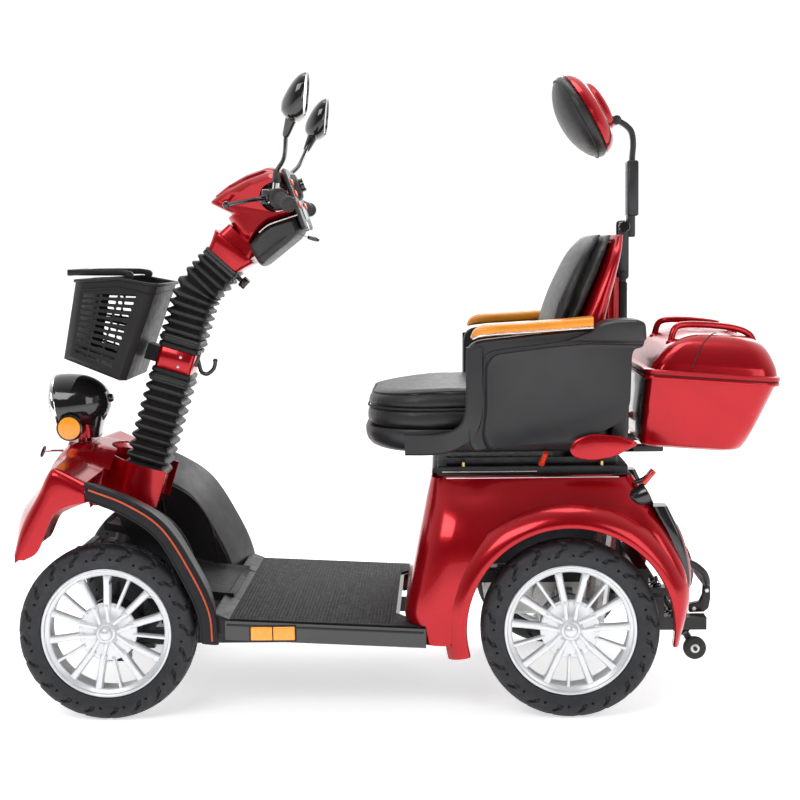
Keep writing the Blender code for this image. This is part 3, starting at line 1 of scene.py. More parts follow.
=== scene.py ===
"""Looks for the mobility scooter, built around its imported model.

Metres, +Z up. The front points to -X and the rider's left hand is on the -Y side.
"""

import math

import bmesh
import bpy
from mathutils import Matrix, Vector


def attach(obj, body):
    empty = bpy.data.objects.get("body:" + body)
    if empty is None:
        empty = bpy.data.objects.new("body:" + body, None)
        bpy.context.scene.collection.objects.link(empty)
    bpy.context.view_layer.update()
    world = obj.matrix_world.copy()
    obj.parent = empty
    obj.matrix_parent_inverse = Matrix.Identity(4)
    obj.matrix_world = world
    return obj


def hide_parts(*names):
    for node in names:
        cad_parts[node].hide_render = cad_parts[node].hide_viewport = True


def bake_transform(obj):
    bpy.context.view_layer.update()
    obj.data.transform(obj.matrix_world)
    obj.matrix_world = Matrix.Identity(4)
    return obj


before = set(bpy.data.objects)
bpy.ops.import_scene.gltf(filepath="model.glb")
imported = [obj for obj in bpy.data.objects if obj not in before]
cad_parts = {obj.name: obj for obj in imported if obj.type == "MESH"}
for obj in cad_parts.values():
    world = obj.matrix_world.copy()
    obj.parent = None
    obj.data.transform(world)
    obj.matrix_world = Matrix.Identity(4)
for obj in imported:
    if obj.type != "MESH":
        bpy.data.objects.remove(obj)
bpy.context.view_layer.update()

# Driving dimensions, the same ones that the solids are built from.
FRONT_AXLE_X = -0.65
REAR_AXLE_X = 0.4
TRACK = 0.62
TYRE_RADIUS = 0.203 * math.cos(math.pi / 32)
AXLE_Z = TYRE_RADIUS
FENDER_OUTER_Y = 0.352
FENDER_INNER_Y = 0.156
SPLIT = (-0.686, 0.545)
COLUMN_LEAN = math.radians(17.5)
COLUMN_POINT = Vector((-0.529, 0, 0.798))
COLUMN_UP = Vector((math.sin(COLUMN_LEAN), 0, math.cos(COLUMN_LEAN)))
COLUMN_BACK = Vector((math.cos(COLUMN_LEAN), 0, -math.sin(COLUMN_LEAN)))
HEAD_LEAN = math.radians(42.5)
HEAD_UP = Vector((math.sin(HEAD_LEAN), 0, math.cos(HEAD_LEAN)))
HEAD_BACK = Vector((math.cos(HEAD_LEAN), 0, -math.sin(HEAD_LEAN)))
TILT_PIVOT = COLUMN_POINT + 0.17 * COLUMN_UP
SKIN = 0.004
SIDES = (("left", -1), ("right", 1))

RED = (0.44, 0.0018, 0.0085)
BLACK = (0.012, 0.011, 0.012)
GREY = (0.03, 0.029, 0.031)


# ---------------------------------------------------------------- materials

def material(name, colour, rough, metallic=0.0, shade=0.12, blotch=9.0, grain=None, **shader_values):
    """Principled material whose colour and roughness drift over the surface.

    rough is (low, high); shade is how far the colour drifts; blotch is that drift's scale per metre;
    grain is (kind, scale per metre, height in metres) with kind noise, cells or wave.
    """
    made = bpy.data.materials.new(name)
    made.use_nodes = True
    nodes, links = made.node_tree.nodes, made.node_tree.links
    shader = nodes["Principled BSDF"]
    shader.inputs["Metallic"].default_value = metallic
    for key, value in shader_values.items():
        shader.inputs[key.replace("_", " ").title().replace("Ior", "IOR")].default_value = value
    where = nodes.new("ShaderNodeTexCoord")
    drift = nodes.new("ShaderNodeTexNoise")
    drift.inputs["Scale"].default_value = blotch
    drift.inputs["Detail"].default_value = 6
    links.new(where.outputs["Object"], drift.inputs["Vector"])
    tint = nodes.new("ShaderNodeValToRGB")
    tint.color_ramp.elements[0].position = 0.3
    tint.color_ramp.elements[1].position = 0.7
    tint.color_ramp.elements[0].color = (*[c * (1 - shade) for c in colour], 1)
    tint.color_ramp.elements[1].color = (*[min(c * (1 + shade), 1) for c in colour], 1)
    links.new(drift.outputs["Fac"], tint.inputs["Fac"])
    links.new(tint.outputs["Color"], shader.inputs["Base Color"])
    wear = nodes.new("ShaderNodeTexNoise")
    wear.inputs["Scale"].default_value = blotch * 4.3
    wear.inputs["Detail"].default_value = 8
    links.new(where.outputs["Object"], wear.inputs["Vector"])
    spread = nodes.new("ShaderNodeMapRange")
    spread.inputs["From Min"].default_value = 0.3
    spread.inputs["From Max"].default_value = 0.7
    spread.inputs["To Min"].default_value = rough[0]
    spread.inputs["To Max"].default_value = rough[1]
    links.new(wear.outputs["Fac"], spread.inputs["Value"])
    links.new(spread.outputs["Result"], shader.inputs["Roughness"])
    if grain:
        kind, scale, height = grain
        node_type = {"noise": "ShaderNodeTexNoise", "cells": "ShaderNodeTexVoronoi",
                     "wave": "ShaderNodeTexWave"}[kind]
        pattern = nodes.new(node_type)
        pattern.inputs["Scale"].default_value = scale
        links.new(where.outputs["Object"], pattern.inputs["Vector"])
        bump = nodes.new("ShaderNodeBump")
        bump.inputs["Strength"].default_value = 0.6
        bump.inputs["Distance"].default_value = height
        source = pattern.outputs[{"noise": 0, "cells": "Distance", "wave": -1}[kind]]
        links.new(source, bump.inputs["Height"])
        links.new(bump.outputs["Normal"], shader.inputs["Normal"])
    return made


MATERIALS = {
    "red_paint": material("red_paint", RED, (0.2, 0.24), 0.62, 0.05, 14, ("noise", 1500, 0.000006),
                          coat_weight=0.35, coat_roughness=0.02),
    "black_plastic": material("black_plastic", BLACK, (0.38, 0.52), 0.0, 0.16, 12, ("noise", 1400, 0.00008),
                              specular_ior_level=0.3),
    "fender_plastic": material("fender_plastic", (0.013, 0.012, 0.014), (0.36, 0.46), 0.0, 0.14, 9,
                               ("noise", 1100, 0.00006), specular_ior_level=0.22),
    "grey_plastic": material("grey_plastic", GREY, (0.4, 0.54), 0.0, 0.1, 12, ("noise", 1300, 0.00012)),
    "gloss_black": material("gloss_black", (0.012, 0.011, 0.012), (0.06, 0.14), 0.0, 0.2, 10,
                            ("noise", 500, 0.00002), coat_weight=0.6, coat_roughness=0.04),
    "bellows_rubber": material("bellows_rubber", (0.013, 0.012, 0.013), (0.42, 0.6), 0.0, 0.25, 26,
                               ("noise", 700, 0.0001)),
    "grip_rubber": material("grip_rubber", (0.02, 0.019, 0.02), (0.5, 0.68), 0.0, 0.2, 30,
                            ("cells", 1300, 0.0002)),
    "tyre_rubber": material("tyre_rubber", (0.016, 0.016, 0.019), (0.5, 0.72), 0.0, 0.22, 22,
                            ("noise", 900, 0.0002)),
    "mat_rubber": material("mat_rubber", (0.012, 0.012, 0.013), (0.55, 0.78), 0.0, 0.28, 24,
                           ("cells", 900, 0.0002), specular_ior_level=0.3),
    "leather": material("leather", (0.0075, 0.0068, 0.0075), (0.32, 0.46), 0.0, 0.18, 20,
                        ("cells", 520, 0.0005), sheen_weight=0.15, sheen_roughness=0.4),
    "shell_plastic": material("shell_plastic", (0.016, 0.015, 0.017), (0.34, 0.46), 0.0, 0.1, 8,
                              ("noise", 900, 0.0002)),
    "alloy": material("alloy", (0.74, 0.75, 0.77), (0.28, 0.36), 0.45, 0.03, 30, ("noise", 800, 0.00002)),
    "chrome": material("chrome", (0.88, 0.88, 0.9), (0.04, 0.1), 1.0, 0.04, 20),
    "steel": material("steel", (0.014, 0.013, 0.014), (0.3, 0.46), 0.15, 0.2, 20, ("noise", 600, 0.0001)),
    "grey_steel": material("grey_steel", (0.03, 0.03, 0.033), (0.32, 0.44), 0.3, 0.12, 18,
                           ("noise", 700, 0.0001)),
    "zinc": material("zinc", (0.62, 0.62, 0.6), (0.25, 0.42), 0.9, 0.1, 60, ("noise", 900, 0.0001)),
    "arm_orange": material("arm_orange", (0.78, 0.27, 0.015), (0.28, 0.4), 0.0, 0.12, 16,
                           ("noise", 260, 0.0002), coat_weight=0.3, coat_roughness=0.2),
    "orange_line": material("orange_line", (0.55, 0.075, 0.02), (0.35, 0.45), 0.0, 0.05, 40),
    "lever_orange": material("lever_orange", (0.8, 0.05, 0.015), (0.22, 0.32), 0.0, 0.08, 50,
                             ("noise", 400, 0.0001)),
    # Amber lenses: the faint emission is a painted glow, since none of these reflectors or signal lenses is
    # lit.
    "amber": material("amber", (0.95, 0.34, 0.008), (0.12, 0.22), 0.0, 0.08, 90, ("cells", 380, 0.0008),
                      emission_color=(0.95, 0.3, 0.0, 1), emission_strength=0.12, coat_weight=1.0),
    "red_lens": material("red_lens", (0.6, 0.01, 0.008), (0.1, 0.18), 0.0, 0.08, 90, ("cells", 420, 0.0006),
                         coat_weight=1.0),
    "clear_lens": material("clear_lens", (0.93, 0.96, 0.98), (0.02, 0.05), 0.0, 0.02, 30,
                           transmission_weight=0.9, ior=1.3),
    "mirror_glass": material("mirror_glass", (0.8, 0.86, 0.88), (0.01, 0.03), 1.0, 0.02, 10),
    "battery": material("battery", (0.05, 0.06, 0.08), (0.45, 0.6), 0.0, 0.15, 20, ("noise", 800, 0.0002)),
    "seam": material("seam", (0.01, 0.009, 0.01), (0.5, 0.65), 0.0, 0.2, 60, ("noise", 1500, 0.0001)),
    "brass": material("brass", (0.7, 0.5, 0.2), (0.25, 0.4), 1.0, 0.1, 80),
}


# ---------------------------------------------------------------- mesh helpers

def linked(name, data):
    """A new object in the scene that shows this data."""
    obj = bpy.data.objects.new(name, data)
    bpy.context.scene.collection.objects.link(obj)
    return obj


def axes_at(point, degrees, axis="Y"):
    """Local axes at a point, turned about one world axis."""
    return Matrix.Translation(point) @ Matrix.Rotation(math.radians(degrees), 4, axis)


def pointing(way, up="X"):
    """Rotation that takes local Z along a direction."""
    return way.to_track_quat("Z", up).to_matrix().to_4x4()


def new_object(bm, name):
    bmesh.ops.recalc_face_normals(bm, faces=bm.faces)
    mesh = bpy.data.meshes.new(name)
    bm.to_mesh(mesh)
    bm.free()
    return linked(name, mesh)


def baked(obj, name=None):
    """The evaluated shape as a plain mesh in the scene's own frame."""
    bpy.context.view_layer.update()
    graph = bpy.context.evaluated_depsgraph_get()
    mesh = bpy.data.meshes.new_from_object(obj.evaluated_get(graph))
    mesh.transform(obj.matrix_world)
    name = name or obj.name
    bpy.data.objects.remove(obj, do_unlink=True)
    mesh.name = name
    return linked(name, mesh)


def loft(name, rows, ring=True, caps=True, closed_rows=False):
    """Skin through rows of points; ring closes each row, closed_rows joins the last row to the first."""
    bm = bmesh.new()
    grid = [[bm.verts.new(p) for p in row] for row in rows]
    count = len(rows[0])
    pairs = list(zip(grid, grid[1:]))
    if closed_rows:
        pairs.append((grid[-1], grid[0]))
    for low, high in pairs:
        for i in range(count if ring else count - 1):
            j = (i + 1) % count
            bm.faces.new((low[i], low[j], high[j], high[i]))
    if ring and caps and not closed_rows:
        bm.faces.new(grid[0])
        bm.faces.new(grid[-1])
    return new_object(bm, name)


def turned(name, profile, steps, place=None, closed=True):
    """A (radius, height) profile turned about local Z. Points on the axis become one vertex."""
    bm = bmesh.new()
    rings = []
    for r, h in profile:
        if r < 1e-6:
            rings.append([bm.verts.new((0, 0, h))])
        else:
            angles = [2 * math.pi * k / steps for k in range(steps)]
            rings.append([bm.verts.new((r * math.cos(a), r * math.sin(a), h)) for a in angles])
    pairs = list(zip(rings, rings[1:]))
    if closed and len(rings[0]) > 1 and len(rings[-1]) > 1:
        pairs.append((rings[-1], rings[0]))
    for low, high in pairs:
        for k in range(steps):
            n = (k + 1) % steps
            corners = [low[k % len(low)], low[n % len(low)], high[n % len(high)], high[k % len(high)]]
            unique = list(dict.fromkeys(corners))
            if len(unique) > 2:
                bm.faces.new(unique)
    obj = new_object(bm, name)
    if place is not None:
        obj.data.transform(place)
    return obj


def tube(name, points, radius, cyclic=False, resolution=5):
    """Round bar along points."""
    curve = bpy.data.curves.new(name, "CURVE")
    curve.dimensions = "3D"
    curve.bevel_depth = radius
    curve.bevel_resolution = resolution
    curve.use_fill_caps = not cyclic
    spline = curve.splines.new("POLY")
    spline.points.add(len(points) - 1)
    for point, place in zip(spline.points, points):
        point.co = (*place, 1)
    spline.use_cyclic_u = cyclic
    made = baked(linked(name, curve), name)
    bm = bmesh.new()
    bm.from_mesh(made.data)
    bmesh.ops.remove_doubles(bm, verts=bm.verts, dist=1e-6)
    bmesh.ops.recalc_face_normals(bm, faces=bm.faces)
    bm.to_mesh(made.data)
    bm.free()
    return made


def rod(name, start, end, radius, end_radius=None, sides=32, bevel=0.0):
    start, end = Vector(start), Vector(end)
    along = end - start
    bm = bmesh.new()
    bmesh.ops.create_cone(
        bm, cap_ends=True, segments=sides, radius1=radius, radius2=radius if end_radius is None
        else end_radius, depth=along.length,
        matrix=Matrix.Translation((start + end) / 2) @ pointing(along),
    )
    obj = new_object(bm, name)
    return bevelled(obj, bevel) if bevel else obj


def box(name, low, high, bevel=0.002):
    bm = bmesh.new()
    bmesh.ops.create_cube(bm, size=1)
    bmesh.ops.scale(bm, vec=[b - a for a, b in zip(low, high)], verts=bm.verts)
    bmesh.ops.translate(bm, vec=[(a + b) / 2 for a, b in zip(low, high)], verts=bm.verts)
    return bevelled(new_object(bm, name), bevel)


def bevelled(obj, width, segments=3, angle_deg=30):
    bevel = obj.modifiers.new("Bevel", "BEVEL")
    bevel.width = width
    bevel.segments = segments
    bevel.limit_method = "ANGLE"
    bevel.angle_limit = math.radians(angle_deg)
    return baked(obj)


def plate(name, outline, low, high, bevel=0.0015, plane="XZ"):
    """A flat outline as a solid between low and high on the third axis."""
    def point(a, b, c):
        return (a, c, b) if plane == "XZ" else (a, b, c)
    rows = [[point(a, b, c) for a, b in outline] for c in (low, high)]
    return bevelled(loft(name, rows), bevel) if bevel else loft(name, rows)


def thickened(obj, thickness, offset=-1.0):
    solidify = obj.modifiers.new("Solidify", "SOLIDIFY")
    solidify.thickness = thickness
    solidify.offset = offset
    solidify.use_even_offset = True
    return baked(obj)


def combined(base, added=(), cut=()):
    """Boolean union and difference, applied."""
    helpers = [(o, "UNION") for o in added] + [(o, "DIFFERENCE") for o in cut]
    for helper, operation in helpers:
        boolean = base.modifiers.new(operation, "BOOLEAN")
        boolean.operation = operation
        boolean.solver = "EXACT"
        boolean.object = helper
    result = baked(base)
    for helper, _ in helpers:
        bpy.data.objects.remove(helper, do_unlink=True)
    return result


def joined(name, objects):
    """Several meshes as one object, each part keeping its own closed skin."""
    bm = bmesh.new()
    for obj in objects:
        bm.from_mesh(obj.data)
        bpy.data.objects.remove(obj, do_unlink=True)
    mesh = bpy.data.meshes.new(name)
    bm.to_mesh(mesh)
    bm.free()
    return linked(name, mesh)


def subdivided(obj):
    subsurf = obj.modifiers.new("Subdivision", "SUBSURF")
    subsurf.levels = subsurf.render_levels = 1
    return baked(obj)


def smooth_line(points, steps, cyclic=False):
    """Points along a Catmull-Rom curve through the given ones."""
    points = [Vector(p) for p in points]
    if cyclic:
        padded = [points[-1]] + points + points[:2]
    else:
        padded = [2 * points[0] - points[1]] + points + [2 * points[-1] - points[-2]]
    line = []
    for i in range(1, len(padded) - 2):
        p0, p1, p2, p3 = padded[i - 1 : i + 3]
        for k in range(steps):
            t = k / steps
            line.append(0.5 * (2 * p1 + (p2 - p0) * t + (2 * p0 - 5 * p1 + 4 * p2 - p3) * t * t
                               + (3 * p1 - p0 - 3 * p2 + p3) * t * t * t))
    if not cyclic:
        line.append(points[-1])
    return line


def resampled(points, count):
    """The same line with evenly spaced points."""
    lengths = [0.0]
    for a, b in zip(points, points[1:]):
        lengths.append(lengths[-1] + (b - a).length)
    line = []
    for k in range(count):
        target = lengths[-1] * k / (count - 1)
        i = max(j for j in range(len(points) - 1) if lengths[j] <= target + 1e-12)
        t = (target - lengths[i]) / (lengths[i + 1] - lengths[i])
        line.append(points[i].lerp(points[i + 1], t))
    return line


def smoothstep(low, high, value):
    t = min(max((value - low) / (high - low), 0), 1)
    return t * t * (3 - 2 * t)


def ribbon(name, line, section):
    """A closed section swept along a line; section(share, along) gives the loop's offsets there."""
    rows = []
    last = len(line) - 1
    for i, point in enumerate(line):
        along = (line[min(i + 1, last)] - line[max(i - 1, 0)]).normalized()
        rows.append([point + offset for offset in section(i / last, along)])
    return loft(name, rows)


def rounded_rectangle(x0, x1, half, radii, corner_steps=3, side_steps=1):
    """Loop in the XY plane; radii are (front, rear); side_steps adds points on the straights."""
    corners = ((x0, -half, radii[0], 180), (x1, -half, radii[1], 270), (x1, half, radii[1], 0),
               (x0, half, radii[0], 90))
    loop = []
    for x, y, radius, start in corners:
        cx = x + radius if x == x0 else x - radius
        cy = y + radius if y < 0 else y - radius
        for k in range(corner_steps + 1):
            angle = math.radians(start + 90 * k / corner_steps)
            loop.append((cx + radius * math.cos(angle), cy + radius * math.sin(angle)))
    if side_steps == 1:
        return loop
    dense = []
    for k, a in enumerate(loop):
        b = loop[(k + 1) % len(loop)]
        steps = side_steps if (k + 1) % (corner_steps + 1) == 0 else 1
        dense += [(a[0] + (b[0] - a[0]) * s / steps, a[1] + (b[1] - a[1]) * s / steps)
                  for s in range(steps)]
    return dense


def signed_power(value, power):
    return math.copysign(abs(value) ** power, value)


def blended_levels(levels, steps):
    """The same table of levels with Catmull-Rom values in between."""
    columns = [smooth_line([(value, 0, 0) for value in column], steps) for column in zip(*levels)]
    return [[point.x for point in row] for row in zip(*columns)]


def blend_rows(rows, steps):
    """More rows between the given ones, point by point."""
    columns = [smooth_line([Vector(row[i]) for row in rows], steps) for i in range(len(rows[0]))]
    return [[column[k] for column in columns] for k in range(len(columns[0]))]


def dense_outline(corners, roundness, steps):
    """Closed outline with every corner rounded; roundness is metres cut off each side of a corner."""
    points = [Vector((x, 0, z)) for x, z in corners]
    loop = []
    count = len(points)
    for k in range(count):
        before, here, after = points[k - 1], points[k], points[(k + 1) % count]
        cut = [min(roundness, 0.42 * (here - other).length) for other in (before, after)]
        a = here + (before - here).normalized() * cut[0]
        b = here + (after - here).normalized() * cut[1]
        for s in range(steps + 1):
            t = s / steps
            loop.append(a.lerp(here, t).lerp(here.lerp(b, t), t))
    return loop


def side_ring(loop, mid, y, along, up):
    """A side outline at y, scaled about mid by along in X and by up in Z."""
    return [Vector((mid.x + (p.x - mid.x) * along, y, mid.z + (p.z - mid.z) * up)) for p in loop]


def stack(levels, radii, steps):
    """Rows of rounded rectangles from (height, front, rear, half width) levels."""
    return [[(x, y, z) for x, y in rounded_rectangle(front, rear, half, radii, steps)]
            for z, front, rear, half in levels]


def inset_stack(front, rear, half, levels, radii, steps):
    """One rectangle at each (height, inset) level, drawn in by its inset."""
    return stack([(z, front + inset, rear - inset, half - inset) for z, inset in levels], radii, steps)


def show(obj, finish, body, replaces=(), smooth_deg=40):
    """Give a piece its material and shading, and hang it on its body."""
    obj.data.validate()
    obj.data.materials.clear()
    obj.data.materials.append(MATERIALS[finish])
    obj.data.shade_smooth()
    if smooth_deg is not None:
        obj.data.set_sharp_from_angle(angle=math.radians(smooth_deg))
    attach(obj, body)
    if replaces:
        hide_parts(*replaces)
    return obj


def column_point(s, back=0.0, side=0.0):
    """A point on the column's axis, s above the middle of its red box."""
    return COLUMN_POINT + s * COLUMN_UP + back * COLUMN_BACK + Vector((0, side, 0))


def head_point(t, back=0.0):
    """A point on the head's own leaning axis, t above the tilt pivot."""
    return TILT_PIVOT + t * HEAD_UP + back * HEAD_BACK


# ---------------------------------------------------------------- stage

def make_stage():
    bm = bmesh.new()
    bmesh.ops.create_grid(bm, x_segments=1, y_segments=1, size=30)
    floor = new_object(bm, "studio_floor")
    pale = bpy.data.materials.new("studio_floor")
    pale.use_nodes = True
    shader = pale.node_tree.nodes["Principled BSDF"]
    for key, value in (("Base Color", (0.93, 0.93, 0.93, 1)), ("Roughness", 0.8),
                       ("Emission Color", (1, 1, 1, 1)), ("Emission Strength", 0.6)):
        shader.inputs[key].default_value = value
    floor.data.materials.append(pale)
    world = bpy.data.worlds.new("studio")
    bpy.context.scene.world = world
    world.use_nodes = True
    background = world.node_tree.nodes["Background"]
    background.inputs["Strength"].default_value = 1.0
    where = world.node_tree.nodes.new("ShaderNodeTexCoord")
    parts = world.node_tree.nodes.new("ShaderNodeSeparateXYZ")
    world.node_tree.links.new(where.outputs["Generated"], parts.inputs["Vector"])
    ramp = world.node_tree.nodes.new("ShaderNodeMapRange")
    ramp.inputs["From Min"].default_value = -0.9
    ramp.inputs["From Max"].default_value = 0.55
    ramp.inputs["To Min"].default_value = 0.07
    ramp.inputs["To Max"].default_value = 1.05
    ramp.interpolation_type = "SMOOTHSTEP"
    world.node_tree.links.new(parts.outputs["Y"], ramp.inputs["Value"])
    world.node_tree.links.new(ramp.outputs["Result"], background.inputs["Color"])
    lamps = (
        # name, place, aim, width, height, power
        ("key", (-1.6, -3.0, 3.2), (0, 0, 0.6), 2.6, 1.6, 66),
        ("fill", (2.6, -3.2, 1.8), (0.1, 0, 0.6), 1.6, 2.2, 28),
        ("top", (0.2, 0.2, 3.6), (0, 0, 0.5), 2.4, 1.2, 34),
        ("rim", (1.2, 3.2, 2.4), (0, 0, 0.7), 2.4, 1.6, 40),
    )
    for name, place, aim, width, height, power in lamps:
        light = bpy.data.lights.new(name, "AREA")
        light.shape = "RECTANGLE"
        light.size = width
        light.size_y = height
        light.energy = power
        lamp = linked(name, light)
        lamp.location = place
        lamp.rotation_euler = (Vector(aim) - Vector(place)).to_track_quat("-Z", "Y").to_euler()
    bpy.context.scene.view_settings.view_transform = "Standard"


def make_camera():
    """Almost side-on from the left, slightly above and turned a little, with a long lens."""
    pitch, turn, roll = 0.1044, -0.0298, -0.0143
    forward = Vector((math.sin(turn) * math.cos(pitch), math.cos(turn) * math.cos(pitch), -math.sin(pitch)))
    right = forward.cross(Vector((0, 0, 1))).normalized()
    up = right.cross(forward)
    right, up = right * math.cos(roll) + up * math.sin(roll), up * math.cos(roll) - right * math.sin(roll)
    data = bpy.data.cameras.new("camera")
    data.lens = 65.4
    data.sensor_width = 36
    camera = linked("camera", data)
    axes = Matrix((right, up, -forward)).transposed().to_4x4()
    camera.matrix_world = Matrix.Translation((0.1193, -3.5446, 1.0621)) @ axes
    bpy.context.scene.camera = camera


make_stage()
make_camera()


# ---------------------------------------------------------------- wheels

TREAD_REPEATS = 20
TREAD_DEPTH = 0.0055
TYRE_STEPS = 540


def tyre_section():
    """Half section of the tyre as (across, radius), bead to crown."""
    crown = TYRE_RADIUS
    return smooth_line([
        (0.0345, 0.1495, 0), (0.0385, 0.152, 0), (0.04, 0.156, 0), (0.0425, 0.164, 0), (0.0445, 0.174, 0),
        (0.0438, 0.184, 0), (0.0405, crown - 0.01, 0), (0.034, crown - 0.004, 0), (0.022, crown - 0.001, 0),
        (0.01, crown, 0), (0.0, crown, 0),
    ], 5)


def groove_depth(turn, across, radius):
    """Lightning grooves over the shoulder, mirrored and staggered between the two halves."""
    phase = (turn * TREAD_REPEATS + (0.5 if across < 0 else 0.0)) % 1.0
    reach = (TYRE_RADIUS + 0.004 - radius) + (0.04 - min(abs(across), 0.04))
    path = ((0.002, 0.18), (0.012, 0.34), (0.018, 0.34), (0.026, 0.62), (0.04, 0.74), (0.052, 0.74))
    depth = 0.0
    for (r0, p0), (r1, p1) in zip(path, path[1:]):
        if r0 <= reach <= r1:
            centre = p0 + (p1 - p0) * (reach - r0) / (r1 - r0)
            depth = max(depth, 1 - abs(phase - centre) / 0.11)
    second = 1 - abs(phase - 0.02) / 0.05 if 0.03 < reach < 0.05 else 0.0
    ring = 1 - abs(abs(across) - 0.0095) / 0.0028
    return TREAD_DEPTH * min(max(depth, second, ring, 0), 0.55) / 0.55


def tyre_mesh():
    half = tyre_section()
    section = [(p.x, p.y) for p in half] + [(-p.x, p.y) for p in reversed(half[:-1])]
    inside = [(-0.03, 0.15), (0.03, 0.15)]
    rows = []
    for k in range(TYRE_STEPS):
        turn = k / TYRE_STEPS
        c, s = math.cos(2 * math.pi * turn), math.sin(2 * math.pi * turn)
        row = []
        for across, radius in section:
            depth = groove_depth(turn, across, radius) if radius > 0.17 else 0.0
            sideways = 1 - smoothstep(0.188, 0.199, radius)
            r = radius - depth * (1 - sideways)
            row.append((r * c, r * s, across - math.copysign(depth * sideways, across)))
        row += [(r * c, r * s, across) for across, r in inside]
        rows.append(row)
    return loft("tyre", rows, closed_rows=True)


def spoke(width, depth, inner, outer, angle, height, spread=1.15):
    """A radial bar with a narrow face outwards; local Z is outwards along the axle."""
    rows = []
    for k in range(7):
        t = k / 6
        r = inner + (outer - inner) * t
        flare = 1 + (spread - 1) * (abs(t - 0.45) / 0.55) ** 2
        face, root = 0.32 * width * flare, 0.5 * width * flare
        low = height - depth
        rows.append([(r, -root, low), (r, root, low), (r, root * 0.95, height - 0.35 * depth),
                     (r, face, height), (r, -face, height), (r, -root * 0.95, height - 0.35 * depth)])
    obj = loft("spoke", rows)
    obj.data.transform(Matrix.Rotation(angle, 4, "Z"))
    return obj


def rim_mesh():
    """Alloy rim: barrel, lips, ten broad spokes in five forks, five thin spokes and a drum disc."""
    lip, barrel = 0.0362, 0.131
    outline = [
        (0.149, -0.034), (0.1492, 0.033), (0.1486, lip), (0.145, lip + 0.0012), (0.1425, lip - 0.0005),
        (0.1405, 0.031), (0.1365, 0.029), (0.134, 0.0275), (barrel, 0.024), (barrel, 0.006),
        (0.1345, 0.0), (0.136, -0.033), (0.142, -0.0355), (0.1486, -0.0362),
    ]
    parts = [turned("barrel", outline, 128)]
    disc = [(0.0, 0.013), (0.066, 0.013), (0.068, 0.016), (0.067, 0.0205), (0.063, 0.022), (0.056, 0.0215),
            (0.03, 0.025), (0.0235, 0.033), (0.0205, 0.0385), (0.0, 0.0395)]
    parts.append(turned("disc", disc, 96))
    parts.append(turned("hub", [(0.0, -0.03), (0.03, -0.03), (0.033, -0.024), (0.033, 0.016), (0.0, 0.016)],
                        48))
    for i in range(5):
        arm = math.radians(90 + 72 * i)
        for side in (-1, 1):
            lean = math.radians(9.5) * side
            fork = spoke(0.0165, 0.016, 0.054, 0.133, 0, 0.029)
            fork.data.transform(Matrix.Rotation(arm + lean * 1.45, 4, "Z"))
            parts.append(fork)
            ridge = spoke(0.0105, 0.016, 0.018, 0.064, 0, 0.0315, 1.0)
            ridge.data.transform(Matrix.Rotation(arm, 4, "Z") @ Matrix.Translation((0, 0.0068 * side, 0))
                                 @ Matrix.Rotation(lean * 0.75, 4, "Z"))
            parts.append(ridge)
        parts.append(spoke(0.0082, 0.014, 0.06, 0.133, arm + math.radians(36), 0.027))
    return bevelled(joined("rim", parts), 0.0008, 2, 40)


def wheel_matrix(x, side):
    """Local Z points out of the scooter's side; each end's spokes are turned as they stand in the photo."""
    turn = math.radians(84 if x < 0 else 70)
    place = axes_at((x, side * TRACK / 2, AXLE_Z), -side * 90, "X")
    return place @ Matrix.Rotation(turn, 4, "Z")


def make_wheels():
    tyre, rim = tyre_mesh(), rim_mesh()
    cap = turned("hub_cap", [(0.0, 0.05), (0.006, 0.0495), (0.012, 0.047), (0.016, 0.042), (0.0168, 0.037),
                             (0.0, 0.037)], 40)
    valve = tube("valve", smooth_line([(0.132, 0.0, 0.01), (0.124, 0.0, 0.011), (0.117, 0.001, 0.019),
                                       (0.1165, 0.002, 0.029)], 4), 0.0042)
    for end, x in (("front", FRONT_AXLE_X), ("rear", REAR_AXLE_X)):
        for word, side in SIDES:
            name = f"{end}_{word}"
            finishes = (
                ("tyre_tread", tyre, "tyre_rubber", "tyre_rubber", (f"{name}_tyre",)),
                ("alloy_rim", rim, "alloy", "alloy", (f"{name}_rim",)),
                ("hub_cap", cap, "alloy", "alloy", ()),
                ("tyre_valve", valve, "gloss_black", "tyre_rubber", ()),
            )
            for label, source, finish, slot, replaces in finishes:
                piece = linked(f"{name}_{label}", source.data)
                piece.matrix_world = wheel_matrix(x, side)
                show(piece, finish, f"{name}_wheel", replaces, 32)
    for source in (tyre, rim, cap, valve):
        bpy.data.objects.remove(source, do_unlink=True)


# ---------------------------------------------------------------- rear body

BODY_LEVELS = (
    # z, front x, rear x, half width, front corner radius, rear corner radius
    (0.16, 0.05, 0.64, 0.34, 0.07, 0.02),
    (0.225, 0.026, 0.662, 0.34, 0.08, 0.025),
    (0.32, 0.044, 0.663, 0.338, 0.08, 0.03),
    (0.4, 0.06, 0.63, 0.328, 0.08, 0.035),
    (0.46, 0.073, 0.598, 0.3, 0.075, 0.04),
    (0.505, 0.083, 0.572, 0.262, 0.06, 0.04),
    (0.532, 0.09, 0.555, 0.238, 0.045, 0.035),
)
ARCH_RADIUS = 0.2325


